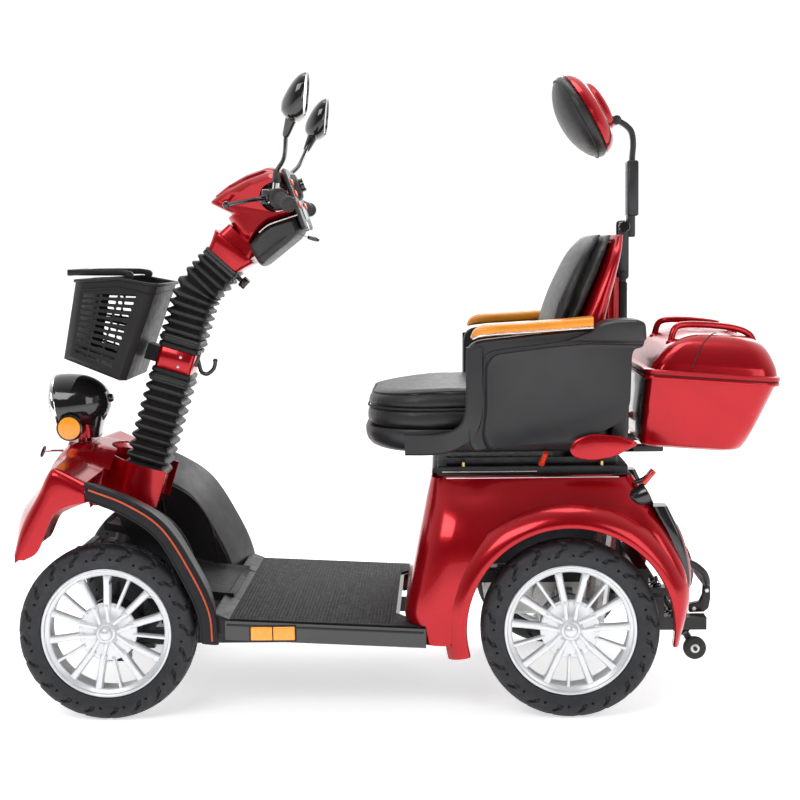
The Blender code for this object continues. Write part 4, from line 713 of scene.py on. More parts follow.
def side_arch_lip(side):
    """Flared rim of the wheel arch, from the foot at the front over the wheel to the pointed tail."""
    profile = [(0.2327, 0.322), (0.2327, 0.35), (0.2345, 0.354), (0.24, 0.3555), (0.25, 0.353),
               (0.262, 0.346), (0.274, 0.335), (0.284, 0.318), (0.278, 0.308), (0.26, 0.312)]
    start, end = math.radians(-9.5), math.radians(194.5)
    rows = []
    count = 90
    for k in range(count + 1):
        angle = start + (end - start) * k / count
        taper = smoothstep(0, 0.16, k / count)
        row = []
        for r, y in profile:
            r = ARCH_RADIUS + (r - ARCH_RADIUS) * (0.35 + 0.65 * taper)
            row.append((REAR_AXLE_X + r * math.cos(angle), side * (y - 0.006 * (1 - taper)),
                        AXLE_Z + r * math.sin(angle)))
        rows.append(row)
    return loft("arch_lip", rows)


def make_rear_body():
    rows = []
    for z, front, rear, half, r_front, r_rear in blended_levels(BODY_LEVELS, 7):
        loop = rounded_rectangle(front, rear, half, (r_front, r_rear), 10, 14)
        dent = 0.012 * math.exp(-(((z - 0.455) / 0.055) ** 2))
        row = []
        for x, y in loop:
            pull = dent * smoothstep(0.16, 0.3, x) * (1 - smoothstep(0.46, 0.58, x)) * smoothstep(0.2, 0.29,
                    abs(y))
            row.append((x, math.copysign(abs(y) - pull, y), z))
        rows.append(row)
    skin = thickened(loft("rear_body_shell", rows, caps=False), SKIN)
    arches = [rod("arch", (REAR_AXLE_X, side * 0.2, AXLE_Z), (REAR_AXLE_X, side * 0.4, AXLE_Z), ARCH_RADIUS,
                  sides=120)
              for side in (-1, 1)]
    below = box("below", (0.13, -0.5, -0.2), (0.9, 0.5, 0.172), 0)
    tail = box("tail", (0.46, -0.5, -0.3), (1.1, 0.5, 0.262), 0)
    ledge = box("ledge", (0.02, -0.5, -0.3), (0.2, 0.5, 0.166), 0)
    outline = [(-0.4, -0.3356), (0.0756, -0.3356), (0.0586, -0.2706), (0.0126, -0.2056), (0.0126, 0.2056),
               (0.0586, 0.2706), (0.0756, 0.3356), (-0.4, 0.3356)]
    deck = plate("deck", outline, 0.1, FLOOR_FRONT_Z + 0.0006, 0, plane="XY")
    sloped(deck)
    body = combined(skin, [], [*arches, below, tail, ledge, deck])
    show(body, "red_paint", "chassis", ("rear_body",), 38)
    for word, side in SIDES:
        lip = side_arch_lip(side)
        show(lip, "red_paint", "chassis", (), 50).name = f"{word}_arch_lip"


# ---------------------------------------------------------------- floor

FLOOR_FRONT_X = -0.3805
FLOOR_REAR_X = 0.012
FLOOR_HALF_WIDTH = 0.335
FLOOR_FRONT_Z = 0.232
FLOOR_SLOPE = -0.5 * 0.046 / (0.09 - FLOOR_FRONT_X)
RIB_PITCH = 0.0078


def sloped(obj):
    shear = Matrix.Identity(4)
    shear[2][0] = FLOOR_SLOPE
    shear[2][3] = -FLOOR_SLOPE * FLOOR_FRONT_X
    obj.data.transform(shear)
    return obj


def make_floor():
    """Ribbed mat: one strip whose height follows the ribs, with a plain border."""
    x0, x1 = FLOOR_FRONT_X + 0.008, FLOOR_REAR_X - 0.009
    count = int((x1 - x0) / RIB_PITCH) * 8
    stations = [x0 + (x1 - x0) * k / count for k in range(count + 1)]
    top = FLOOR_FRONT_Z
    half = FLOOR_HALF_WIDTH - 0.008
    rows = []
    for x in stations:
        phase = ((x - x0) / RIB_PITCH) % 1.0
        border = smoothstep(x0, x0 + 0.014, x) * (1 - smoothstep(x1 - 0.01, x1, x))
        rib = 0.0014 * smoothstep(0.0, 0.22, phase) * (1 - smoothstep(0.55, 0.78, phase)) * border
        row = []
        for y, share in ((-half, 0), (-half + 0.018, 0), (-half + 0.022, 1), (half - 0.022, 1),
                         (half - 0.018, 0), (half, 0)):
            row.append((x, y, top - 0.0016 + rib * share))
        row += [(x, half, top - 0.0046), (x, -half, top - 0.0046)]
        rows.append(row)
    mat = sloped(loft("ribbed_mat", rows))
    show(mat, "mat_rubber", "chassis", (), 40)
    flank = []
    for side in (-1, 1):
        outline = [(FLOOR_REAR_X - 0.0085, side * 0.212), (0.051, side * 0.277), (0.0665, side * half),
                   (x1, side * half)]
        flank.append(plate("mat_flank", outline, top - 0.0046, top - 0.0012, 0.0006, plane="XY"))
    show(sloped(joined("mat_corners", flank)), "mat_rubber", "chassis", ("floor_mat",), 40)
    trims = []
    for side in (-1, 1):
        y = side * (FLOOR_HALF_WIDTH + 0.0012)
        z = FLOOR_FRONT_Z - 0.012
        strip = box("floor_edge", (FLOOR_FRONT_X + 0.004, y - 0.0018, z - 0.004), (0.07, y + 0.0018, z),
                    0.0008)
        trims.append(strip)
    show(sloped(joined("floor_edge_line", trims)), "seam", "chassis", (), 40)
    for word, side in SIDES:
        face = side * FLOOR_HALF_WIDTH
        y0, y1 = sorted((face, face + side * 0.005))
        halves = []
        for x0r, x1r in ((-0.322, -0.273), (-0.271, -0.222)):
            halves.append(box("reflector", (x0r, y0, 0.182), (x1r, y1, 0.213), 0.0022))
        lens = joined(f"{word}_deck_reflector", halves)
        show(lens, "amber", "chassis", (), 40)
        y0, y1 = sorted((face - side * 0.001, face + side * 0.0022))
        tray = box(f"{word}_reflector_tray", (-0.3255, y0, 0.1785), (-0.2185, y1, 0.2165), 0.001)
        show(tray, "black_plastic", "chassis", (), 40)
    front = [plate("toe", [(-0.412, 0.205), (-0.408, 0.245), (-0.4, 0.242), (-0.37, 0.23), (-0.37, 0.19)],
                   *sorted((side * 0.15, side * 0.334)), 0.003) for side in (-1, 1)]
    front.append(plate("toe", [(-0.42, 0.205), (-0.405, 0.239), (-0.37, 0.23), (-0.37, 0.19)], -0.1505,
                       0.1505, 0.003))
    show(joined("toe_board", front), "black_plastic", "chassis", (), 40)


make_wheels()
make_rear_body()
make_floor()


# ---------------------------------------------------------------- fenders and cowl

def crown_line():
    """Ridge of the front mudguard, from the seam with the nose back to the tip by the floor."""
    return smooth_line([(-0.686, 0, 0.545), (-0.59, 0, 0.507), (-0.509, 0, 0.45), (-0.444, 0, 0.346),
                        (-0.405, 0, 0.254), (-0.398, 0, 0.175)], 12)


FRONT_AXLE = Vector((FRONT_AXLE_X, 0, AXLE_Z))
CROWN_STATIONS = 56


def fender_section(point, share, side):
    """Outer skin of the mudguard at one crown point, from the lower outer edge over to the inner wall."""
    away = (point - FRONT_AXLE).normalized()
    fall = 0.038 - 0.008 * share
    guide = [(0.3525, -0.033), (0.353, -0.02), (0.3525, -0.008), (0.349, 0.001), (0.342, 0.0035),
             (0.32, 0.0005), (0.254, -0.36 * fall), (0.21, -0.62 * fall), (0.175, -0.88 * fall),
             (0.162, -fall), (0.1565, -fall - 0.008), (0.156, -fall - 0.022)]
    line = smooth_line([(y, 0, h) for y, h in guide], 4)
    return [point + away * p.z + Vector((0, side * p.x, 0)) for p in line]


def beside_crown(crown, drop, y):
    """Line that follows the crown, lower by drop and out at y."""
    return [p - (p - FRONT_AXLE).normalized() * drop + Vector((0, y, 0)) for p in crown[1:-1]]


def make_fender(word, side):
    last = CROWN_STATIONS - 1
    crown = resampled(crown_line(), CROWN_STATIONS)
    rows = [fender_section(p, k / last, side) for k, p in enumerate(crown)]
    sheet = loft("fender_skin", rows, ring=False)
    outermost = max(sheet.data.polygons, key=lambda face: abs(face.center.y))
    skin = thickened(sheet, SKIN, -1.0 if outermost.normal.y * side > 0 else 1.0)
    top = []
    for k, p in enumerate(crown):
        away = (p - FRONT_AXLE).normalized()
        top.append(p - away * (0.042 - 0.008 * k / last))
    outline = [(p.x, p.z) for p in top[::3]] + [(-0.56, 0.175), (-0.59, 0.32), (-0.64, 0.4)]
    y0, y1 = sorted((side * 0.1525, side * 0.156))
    inner = plate("inner_wall", outline, y0, y1, 0)
    guard = joined(f"{word}_mudguard", [skin, inner])
    show(guard, "fender_plastic", "chassis", (f"{word}_fender",), 45)
    line = tube(f"{word}_fender_line", beside_crown(crown, 0.009, side * 0.3532), 0.0022, resolution=3)
    show(line, "orange_line", "chassis", (), 60)
    hem = tube(f"{word}_fender_hem", beside_crown(crown, 0.0335, side * 0.3515), 0.003, resolution=4)
    show(hem, "fender_plastic", "chassis", (), 60)
    panel = [(-0.612, 0.452), (-0.588, 0.458), (-0.53, 0.421), (-0.49, 0.361), (-0.472, 0.286),
             (-0.47, 0.215), (-0.56, 0.215), (-0.583, 0.3), (-0.603, 0.385)]
    loop = smooth_line([(x, side * 0.1518, z) for x, z in panel], 8, cyclic=True)
    show(tube(f"{word}_wall_ridge", loop, 0.0035, cyclic=True, resolution=4), "fender_plastic", "chassis",
         (), 60)
    sunk = plate(f"{word}_wall_panel", [(p.x, p.z) for p in loop[::2]],
                 *sorted((side * 0.1505, side * 0.1526)), 0)
    show(sunk, "black_plastic", "chassis", (), 40)


MIDDLE_PROFILE = [(-0.672, 0.587), (-0.73, 0.598), (-0.785, 0.6), (-0.822, 0.562), (-0.845, 0.512),
                  (-0.868, 0.485), (-0.887, 0.455), (-0.8945, 0.405), (-0.886, 0.345)]
CROWN_PROFILE = [(-0.6863, 0.545), (-0.712, 0.56), (-0.738, 0.574), (-0.757, 0.58), (-0.77, 0.562),
                 (-0.784, 0.53), (-0.808, 0.487), (-0.832, 0.438), (-0.85, 0.387)]
ARCH_PROFILE = [(-0.672, 0.503), (-0.695, 0.502), (-0.718, 0.498), (-0.74, 0.49), (-0.757, 0.476),
                (-0.771, 0.452), (-0.785, 0.416), (-0.801, 0.388), (-0.829, 0.373)]
NOTCH_RADIUS = 0.1
COWL_LINES = [resampled(smooth_line([(x, 0, z) for x, z in profile], 8), 41)
              for profile in (MIDDLE_PROFILE, CROWN_PROFILE, ARCH_PROFILE)]


def cowl_row(y):
    """One fore-and-aft line of the nose's skin at distance y from the middle."""
    sweep = (y / FENDER_OUTER_Y) ** 2.4
    drop = smoothstep(0.06, 0.175, y)
    crease = 0.004 * math.exp(-(((y - 0.118) / 0.014) ** 2))
    middle, crown, _ = COWL_LINES
    return [
        Vector((m.x + (c.x - m.x) * sweep, -y, m.z + (c.z - m.z) * drop + crease * smoothstep(0.0, 0.2,
                k / 40)
                * (1 - smoothstep(0.55, 0.8, k / 40))))
        for k, (m, c) in enumerate(zip(middle, crown))
    ]


def make_cowl():
    _, crown, arch = COWL_LINES
    rows = [cowl_row(0.336 * k / 27) for k in range(28)]
    last = rows[-1]
    rows.append([Vector((p.x * 0.6 + c.x * 0.4, -0.344, p.z * 0.6 + (c.z - 0.005) * 0.4)) for p,
                 c in zip(last, crown)])
    rows.append([Vector((c.x, -0.35, c.z - 0.01)) for c in crown])
    rows.append([Vector((c.x, -0.3525, c.z - 0.02)) for c in crown])
    rows.append([Vector((c.x * 0.5 + a.x * 0.5, -0.353, (c.z - 0.012) * 0.5 + a.z * 0.5)) for c,
                 a in zip(crown, arch)])
    rows.append([Vector((a.x, -0.352, a.z)) for a in arch])
    skin = loft("cowl_skin", rows, ring=False)
    mirror = skin.modifiers.new("Mirror", "MIRROR")
    mirror.use_axis = (False, True, False)
    mirror.merge_threshold = 1e-4
    skin = thickened(baked(skin), SKIN)
    bottom = COLUMN_POINT - 0.7 * COLUMN_UP
    top = COLUMN_POINT - 0.05 * COLUMN_UP
    notch = rod("notch", bottom, top, NOTCH_RADIUS, sides=96)
    behind = [box("behind", (SPLIT[0] - 0.0003, -0.4, 0.38), (-0.58, -0.15, 0.68), 0),
              box("behind", (SPLIT[0] - 0.0003, 0.15, 0.38), (-0.58, 0.4, 0.68), 0)]
    cowl = combined(skin, [], [notch, *behind])
    cowl.name = "nose_cowl"
    show(cowl, "red_paint", "chassis", ("front_cowl",), 42)
    well = []
    for s, r in ((-0.352, 0.0995), (-0.352, 0.103), (-0.262, 0.103), (-0.262, 0.0995)):
        arc = [math.radians(180 - 125 + 250 * k / 48) for k in range(49)]
        well.append([column_point(s, r * math.cos(a), r * math.sin(a)) for a in arc])
    well_rows = [[well[j][k] for j in range(4)] for k in range(49)]
    show(loft("column_well", well_rows), "red_paint", "chassis", (), 42)
    neck = stack(((0.56, -0.812, -0.734, 0.058), (0.588, -0.803, -0.738, 0.05),
                  (0.6015, -0.798, -0.74, 0.046)),
                 (0.012, 0.012), 6)
    ears = [box("ear", (-0.777, s * 0.0285 - 0.005, 0.592), (-0.757, s * 0.0285 + 0.005, 0.613),
                0.003) for s in (-1, 1)]
    pin = rod("pin", (-0.767, -0.034, 0.6105), (-0.767, 0.034, 0.6105), 0.0034, bevel=0.001)
    show(joined("lamp_neck", [loft("neck", neck), *ears]), "red_paint", "chassis", (), 42)
    show(pin, "zinc", "chassis", (), 42)
    stay = tube("reflector_rod", smooth_line([(-0.8, -0.052, 0.581), (-0.83, -0.06, 0.5825),
                                              (-0.85, -0.07, 0.583)],
                                             4), 0.003)
    show(stay, "chrome", "chassis", (), 60)
    disc = turned("clip", [(0, -0.002), (0.0135, -0.002), (0.015, 0.0), (0.0135, 0.002), (0.0, 0.0025)], 40,
                  axes_at((-0.853, -0.072, 0.582), -70))
    show(disc, "grey_steel", "chassis", (), 40)


def make_leg_shield():
    """Black cover between the mudguards, wrinkled into shallow steps like a moulded boot."""
    top = smooth_line([(-0.386, 0, 0.2345), (-0.425, 0, 0.238), (-0.48, 0, 0.246), (-0.535, 0, 0.262),
                       (-0.58, 0, 0.3), (-0.605, 0, 0.35), (-0.63, 0, 0.392), (-0.69, 0, 0.41)], 10)
    top = resampled(top, 60)
    width = FENDER_INNER_Y - SKIN - 0.0006
    rows = []
    for k, p in enumerate(top):
        step = 0.0015 * math.sin(math.pi * k / 59)
        crown = [(-width, 0.012), (-width * 0.92, 0.003), (-0.06, step), (0.06, step),
                 (width * 0.92, 0.003), (width, 0.012)]
        loop = [Vector((p.x, y, p.z + lift)) for y, lift in crown]
        loop += [Vector((p.x - 0.002, y, p.z - 0.006)) for y, _ in reversed(crown)]
        rows.append(loop)
    cover = loft("leg_shield_cover", rows)
    hole = rod("hole", COLUMN_POINT - 0.6 * COLUMN_UP, COLUMN_POINT - 0.3 * COLUMN_UP, 0.042, sides=64)
    cover = combined(cover, [], [hole])
    show(cover, "black_plastic", "chassis", ("leg_shield",), 45)


# ---------------------------------------------------------------- headlight

HEADLIGHT_MATRIX = axes_at((-0.79, 0, 0.69), -99)


def make_headlight():
    profile = smooth_line([(0.0001, 0, -0.088), (0.022, 0, -0.0865), (0.046, 0, -0.07), (0.064, 0, -0.044),
                           (0.074, 0, -0.012), (0.0785, 0, 0.016), (0.0785, 0, 0.029)], 6)
    outer = [(p.x, p.z) for p in profile]
    inner = [(max(r - 0.004, 0.0), h + (0.004 if r < 0.06 else 0.0)) for r, h in reversed(outer)]
    inner[-1] = (0.0, -0.084)
    outer[0] = (0.0, -0.088)
    bucket = turned("headlight_bucket", outer + inner, 96, HEADLIGHT_MATRIX, closed=False)
    skirt = loft("skirt", stack((
        (0.609, -0.764, -0.728, 0.033), (0.63, -0.768, -0.724, 0.038), (0.668, -0.775, -0.715, 0.044),
        (0.7, -0.78, -0.716, 0.048), (0.73, -0.78, -0.722, 0.042)), (0.014, 0.02), 6))
    tower = loft("lamp_tower", stack((
        (0.6105, -0.797, -0.742, 0.044), (0.63, -0.806, -0.742, 0.045), (0.66, -0.816, -0.748, 0.046),
        (0.69, -0.826, -0.752, 0.046)), (0.01, 0.01), 6))
    show(bucket, "gloss_black", "headlight", ("headlight_shell",), 50)
    show(skirt, "gloss_black", "headlight", (), 50)
    show(tower, "red_paint", "headlight", (), 50)
    lugs = joined("lamp_lugs", [box("lug", (-0.775, s * 0.0165 - 0.0045, 0.607),
                                    (-0.758, s * 0.0165 + 0.0045, 0.634), 0.003)
                                for s in (-1, 1)])
    show(lugs, "gloss_black", "headlight", (), 45)
    rim = turned("lamp_rim", [(0.0735, 0.03), (0.079, 0.0285), (0.0812, 0.032), (0.0805, 0.0375),
                              (0.077, 0.04), (0.073, 0.038)], 96, HEADLIGHT_MATRIX)
    show(rim, "chrome", "headlight", (), 60)
    glass = turned("lamp_glass", [(0.0, 0.0555), (0.03, 0.054), (0.055, 0.049), (0.07, 0.042),
                                  (0.0765, 0.036), (0.074, 0.0345), (0.066, 0.0395), (0.045, 0.0475),
                                  (0.0, 0.052)], 96, HEADLIGHT_MATRIX,
                   closed=False)
    show(glass, "clear_lens", "headlight", ("headlight_lens",), 60)
    dish = turned("lamp_dish", [(0.0, -0.055), (0.022, -0.052), (0.05, -0.03), (0.066, 0.004),
                                (0.0725, 0.031), (0.0705, 0.0315), (0.064, 0.005), (0.048, -0.027),
                                (0.02, -0.048), (0.0, -0.051)], 96,
                  HEADLIGHT_MATRIX, closed=False)
    show(dish, "chrome", "headlight", (), 60)
    bulb = turned("lamp_bulb", [(0.0, 0.004), (0.0065, 0.0), (0.0085, -0.012), (0.006, -0.03),
                                (0.009, -0.049), (0.0, -0.0505)],
                  32, HEADLIGHT_MATRIX, closed=False)
    show(bulb, "clear_lens", "headlight", (), 60)
    knob = turned("lamp_knob", [(0, 0.0985), (0.008, 0.0975), (0.0105, 0.093), (0.0105, 0.0865),
                                (0, 0.0865)], 32,
                  HEADLIGHT_MATRIX @ Matrix.Rotation(math.pi, 4, "X"))
    show(knob, "gloss_black", "headlight", (), 50)
    for word, side in SIDES:
        place = axes_at((-0.783, side * 0.0845, 0.64), -side * 90, "X")
        ring = turned(f"{word}_reflector_ring", [(0, -0.002), (0.03, -0.002), (0.032, 0.0005),
                                                 (0.031, 0.0065), (0.028, 0.007),
                                          (0.0278, 0.0045), (0.0, 0.0045)], 64, place, closed=False)
        show(ring, "gloss_black", "headlight", (), 50)
        lens = turned(f"{word}_round_reflector", [(0, 0.005), (0.0272, 0.005), (0.027, 0.0068),
                                                  (0.015, 0.0082), (0, 0.0086)], 64, place)
        show(lens, "amber", "headlight", (), 50)
        arm = tube(f"{word}_reflector_arm", smooth_line([(-0.783, side * 0.083, 0.64),
                                                         (-0.78, side * 0.062, 0.638),
                                                (-0.776, side * 0.026, 0.64)], 5), 0.0048)
        show(arm, "gloss_black", "headlight", (), 60)


for fender_word, fender_side in SIDES:
    make_fender(fender_word, fender_side)
make_cowl()
make_leg_shield()
make_headlight()


# ---------------------------------------------------------------- steering column

def square_loop(centre, back_way, half_depth, half_width, corner, steps=4):
    """Square section with rounded corners; back_way is its rearward direction."""
    loop = rounded_rectangle(-half_depth, half_depth, half_width, (corner, corner), steps)
    return [centre + back_way * a + Vector((0, b, 0)) for a, b in loop]


def column_block(name, levels, corner):
    """Box round the column from (height, half depth, half width) levels."""
    rows = [square_loop(column_point(s), COLUMN_BACK, depth, width, corner) for s, depth, width in levels]
    return loft(name, rows)


BELLOWS_HALF_DEPTH = 0.053
BELLOWS_HALF_WIDTH = 0.064


def pleated(name, line, pleats, first_up, last_up):
    """Square gaiter: sharp outer edges, pinched folds and small faceted corners."""
    per = 6
    count = pleats * per + 1
    line = resampled(line, count)
    rows = []
    for i, point in enumerate(line):
        if i == 0:
            along = first_up
        elif i == count - 1:
            along = last_up
        else:
            along = (line[i + 1] - line[i - 1]).normalized()
        back_way = Vector((0, 1, 0)).cross(along).normalized()
        phase = (i % per) / per
        # outer lip in the middle of each pleat, narrow fold between two pleats
        wave = 1 - abs(2 * phase - 1)
        fold = 0.0125 * (1 - smoothstep(0.0, 0.85, wave))
        if i in (0, count - 1):
            fold = 0.0105
        rows.append(square_loop(point, back_way, BELLOWS_HALF_DEPTH - fold, BELLOWS_HALF_WIDTH - fold,
                                0.015 - 0.35 * fold, 2))
    return loft(name, rows)


def collar_bands(name, centres, up, half_depth, half_width, height):
    """Smooth double band that holds a gaiter's end."""
    bands = []
    for centre in centres:
        back_way = Vector((0, 1, 0)).cross(up).normalized()
        rows = []
        for share, grow in ((0, -0.003), (0.12, 0.0), (0.42, 0.0), (0.5, -0.0022), (0.58, 0.0), (0.88, 0.0),
                            (1, -0.003)):
            rows.append(square_loop(centre + up * (share - 0.5) * height, back_way, half_depth + grow,
                                    half_width + grow, 0.014, 4))
        bands.append(loft(name, rows))
    return joined(name, bands)


def make_column():
    lower_line = [column_point(-0.288), column_point(-0.038)]
    lower = pleated("lower_gaiter", lower_line, 10, COLUMN_UP, COLUMN_UP)
    show(lower, "bellows_rubber", "tiller", ("lower_bellows",), 20)
    bands = collar_bands("lower_gaiter_bands", [column_point(-0.277), column_point(-0.0505)], COLUMN_UP,
                         0.0495, 0.0605, 0.02)
    show(bands, "grey_plastic", "tiller", (), 45)
    levels = [(-0.366, 0.0435, 0.0715), (-0.362, 0.047, 0.075), (-0.296, 0.047, 0.075),
              (-0.29, 0.0445, 0.072)]
    base = column_block("column_base", levels, 0.012)
    base = combined(base, [], [rod("hole", column_point(-0.5), column_point(-0.2), 0.036, sides=48)])
    show(base, "red_paint", "tiller", ("lower_column_cover",), 45)
    red = column_block("red_box", [(-0.027, 0.0425, 0.051), (-0.0245, 0.045, 0.053), (0.0245, 0.045, 0.053),
                                   (0.027, 0.0425, 0.051)], 0.01)
    red = bevelled(red, 0.0008, 2, 50)
    show(red, "red_paint", "tiller", (), 45)
    straps = [column_block("strap", [(low, 0.046, 0.0545), (low + 0.002, 0.0492, 0.0572),
                                     (low + 0.0105, 0.0492, 0.0572), (low + 0.0125, 0.046, 0.0545)],
                                     0.01) for low in (-0.0385, 0.026)]
    half, low, high = 0.0245, -0.0195, 0.0195
    bracket = loft("bracket", [
        [column_point(s, back, y) for y, s in ((-half, low), (half, low), (half, high), (-half, high))]
        for back in (-0.0782, -0.0762, -0.04)])
    clamp = joined("column_clamp", [*straps, bracket])
    show(clamp, "black_plastic", "tiller", ("middle_column_cover",), 45)
    bolts = []
    for s in (-0.012, 0.012):
        for side in (-1, 1):
            start = column_point(s, 0.012, side * 0.0525)
            bolts.append(rod("bolt", start, start + Vector((0, side * 0.0035, 0)), 0.0038, bevel=0.0008))
    show(joined("box_bolts", bolts), "zinc", "tiller", (), 40)
    hook_line = smooth_line([column_point(0.022, 0.042), column_point(0.006, 0.05),
                             column_point(-0.012, 0.061), column_point(-0.0165, 0.07),
                             column_point(-0.0135, 0.08), column_point(-0.001, 0.0885),
                             column_point(0.01, 0.09), column_point(0.022, 0.088)], 6)
    hook = tube("bag_hook", hook_line, 0.005)
    tip = turned("tip", [(0, -0.006), (0.0045, -0.005), (0.0062, 0.0), (0.0045, 0.005), (0, 0.006)], 24,
                 Matrix.Translation(column_point(0.022, 0.088)))
    lug = box("lug", (0, -0.01, -0.01), (0.01, 0.01, 0.03), 0.003)
    lug.data.transform(Matrix.Translation(column_point(0.004, 0.0405)) @ Matrix.Rotation(COLUMN_LEAN, 4,
            "Y"))
    show(joined("bag_hook_set", [hook, tip, lug]), "gloss_black", "tiller", (), 45)
    show_upper_gaiter()
    nut = rod("column_nut", column_point(-0.385), column_point(-0.368), 0.03, 0.027, 48, 0.002)
    show(nut, "grey_steel", "tiller", (), 45)


def show_upper_gaiter():
    """The bent gaiter between the column and the head: low end on the column, high end on the head."""
    start = column_point(0.0385)
    end = head_point(0.0875)
    bend = [start, column_point(0.09), column_point(0.135), TILT_PIVOT + 0.01 * HEAD_UP, head_point(0.05),
            end]
    line = smooth_line(bend, 10)
    gaiter = pleated("upper_gaiter", line, 10, COLUMN_UP, HEAD_UP)
    gaiter.data.materials.append(MATERIALS["bellows_rubber"])
    gaiter.data.shade_smooth()
    gaiter.data.set_sharp_from_angle(angle=math.radians(20))
    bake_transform(gaiter)
    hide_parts("upper_bellows")
    low = collar_bands("upper_gaiter_foot", [column_point(0.051)], COLUMN_UP, 0.0495, 0.0605, 0.02)
    show(low, "grey_plastic", "tiller", (), 45)


def make_tiller_cap():
    """Red taper between the gaiter and the head, on a grey collar."""
    levels = ((0.088, 0.047, 0.06), (0.09, 0.0495, 0.0625), (0.096, 0.0495, 0.0625),
              (0.0975, 0.0475, 0.0605), (0.099, 0.0495, 0.0625), (0.105, 0.05, 0.063),
              (0.1065, 0.046, 0.0595), (0.125, 0.0515, 0.062), (0.149, 0.061, 0.066), (0.1508, 0.06, 0.065),
              (0.1516, 0.05, 0.055), (0.18, 0.047, 0.052))
    rows = [square_loop(head_point(t), HEAD_BACK, depth, width, 0.014) for t, depth, width in levels]
    show(loft("tiller_cap_collar", rows[:7]), "grey_plastic", "tiller_head",
         ("upper_column_cover",), 40)
    show(loft("tiller_cap", rows[6:]), "red_paint", "tiller_head", (), 40)
    knob_centre = head_point(0.094, 0.0495)
    way = pointing(HEAD_BACK, "Y")
    place = Matrix.Translation(knob_centre) @ way
    ring = []
    for h, grow in ((0.012, 0.0), (0.014, 0.0016), (0.027, 0.0016), (0.03, -0.0005)):
        row = []
        for k in range(72):
            a = 2 * math.pi * k / 72
            r = 0.0112 + grow + 0.0012 * (0.5 + 0.5 * math.cos(12 * a))
            row.append(place @ Vector((r * math.cos(a), r * math.sin(a), h)))
        ring.append(row)
    knob = loft("tilt_knob_grip", ring)
    stem = turned("stem", [(0, 0.0), (0.0058, 0.0), (0.0058, 0.013), (0, 0.013)], 24, place)
    show(joined("tilt_knob_set", [knob, stem]), "gloss_black", "tilt_clamp",
         ("tilt_knob",), 40)


# ---------------------------------------------------------------- basket

BASKET_OUTLINE = [(-0.745, 0.997), (-0.64, 1.001), (-0.55, 0.984), (-0.634, 0.757), (-0.65, 0.757),
                  (-0.781, 0.811)]
BASKET_HALF = 0.14
BASKET_CHAMFER = 0.02
SLOT_HALF = 0.004


def slot_rows():
    """Slots of the side panel: eleven rows parallel to the slanting bottom, in three columns."""
    bottom_front = Vector((-0.75, 0, 0.824))
    bottom_rear = Vector((-0.666, 0, 0.786))
    top_front = Vector((-0.722, 0, 0.968))
    top_rear = Vector((-0.598, 0, 0.966))
    rows = []
    for k in range(11):
        t = (k + 0.5) / 11
        a = bottom_front.lerp(top_front, t)
        b = bottom_rear.lerp(top_rear, t)
        rows.append((a, b))
    return rows


def basket_slots(side):
    """The holes as thin slanted bars, all through one wall."""
    cuts = []
    y = side * BASKET_HALF
    for a, b in slot_rows():
        along = b - a
        for s0, s1 in ((0.0, 0.29), (0.355, 0.645), (0.71, 1.0)):
            p, q = a + along * s0, a + along * s1
            outline = [(p.x, p.z - SLOT_HALF), (q.x, q.z - SLOT_HALF), (q.x + 0.0015, q.z),
                       (q.x, q.z + SLOT_HALF), (p.x, p.z + SLOT_HALF), (p.x - 0.0015, p.z)]
            cuts.append(plate("slot", outline, y - 0.016, y + 0.016, 0))
    return joined("slots", cuts)


def basket_block(name, wall, rise):
    """The basket's outside when both numbers are 0, else its hollow, drawn in by wall."""
    centre = sum((Vector((x, 0, z)) for x, z in BASKET_OUTLINE), Vector()) / len(BASKET_OUTLINE)
    rows = []
    for y, pull in ((-BASKET_HALF + wall, BASKET_CHAMFER), (-BASKET_HALF + BASKET_CHAMFER, 0.0),
                    (BASKET_HALF - BASKET_CHAMFER, 0.0), (BASKET_HALF - wall, BASKET_CHAMFER)):
        row = []
        for x, z in BASKET_OUTLINE:
            away = x - centre.x
            front = away < -0.05
            if z > 0.9:
                rear = away > 0.06
                shift = pull + wall + rise * 0.15 if front else rise * 0.36 - pull - wall if rear else 0.0
                lift = rise
            else:
                shift = pull + wall if front else -pull * 0.55 - wall * 0.6 if away > 0.02 else 0.0
                lift = pull * 0.35 + wall
            row.append((x + shift, y, z + lift))
        rows.append(row)
    return loft(name, rows)


def make_basket():
    basket = combined(basket_block("basket_body", 0.0, 0.0), [], [basket_block("basket_hollow", 0.0042,
            0.03)])
    basket = combined(basket, [], [basket_slots(-1), basket_slots(1)])
    basket = bevelled(basket, 0.0006, 1, 40)
    show(basket, "black_plastic", "tiller", ("basket",), 30)
    show_basket_rim()


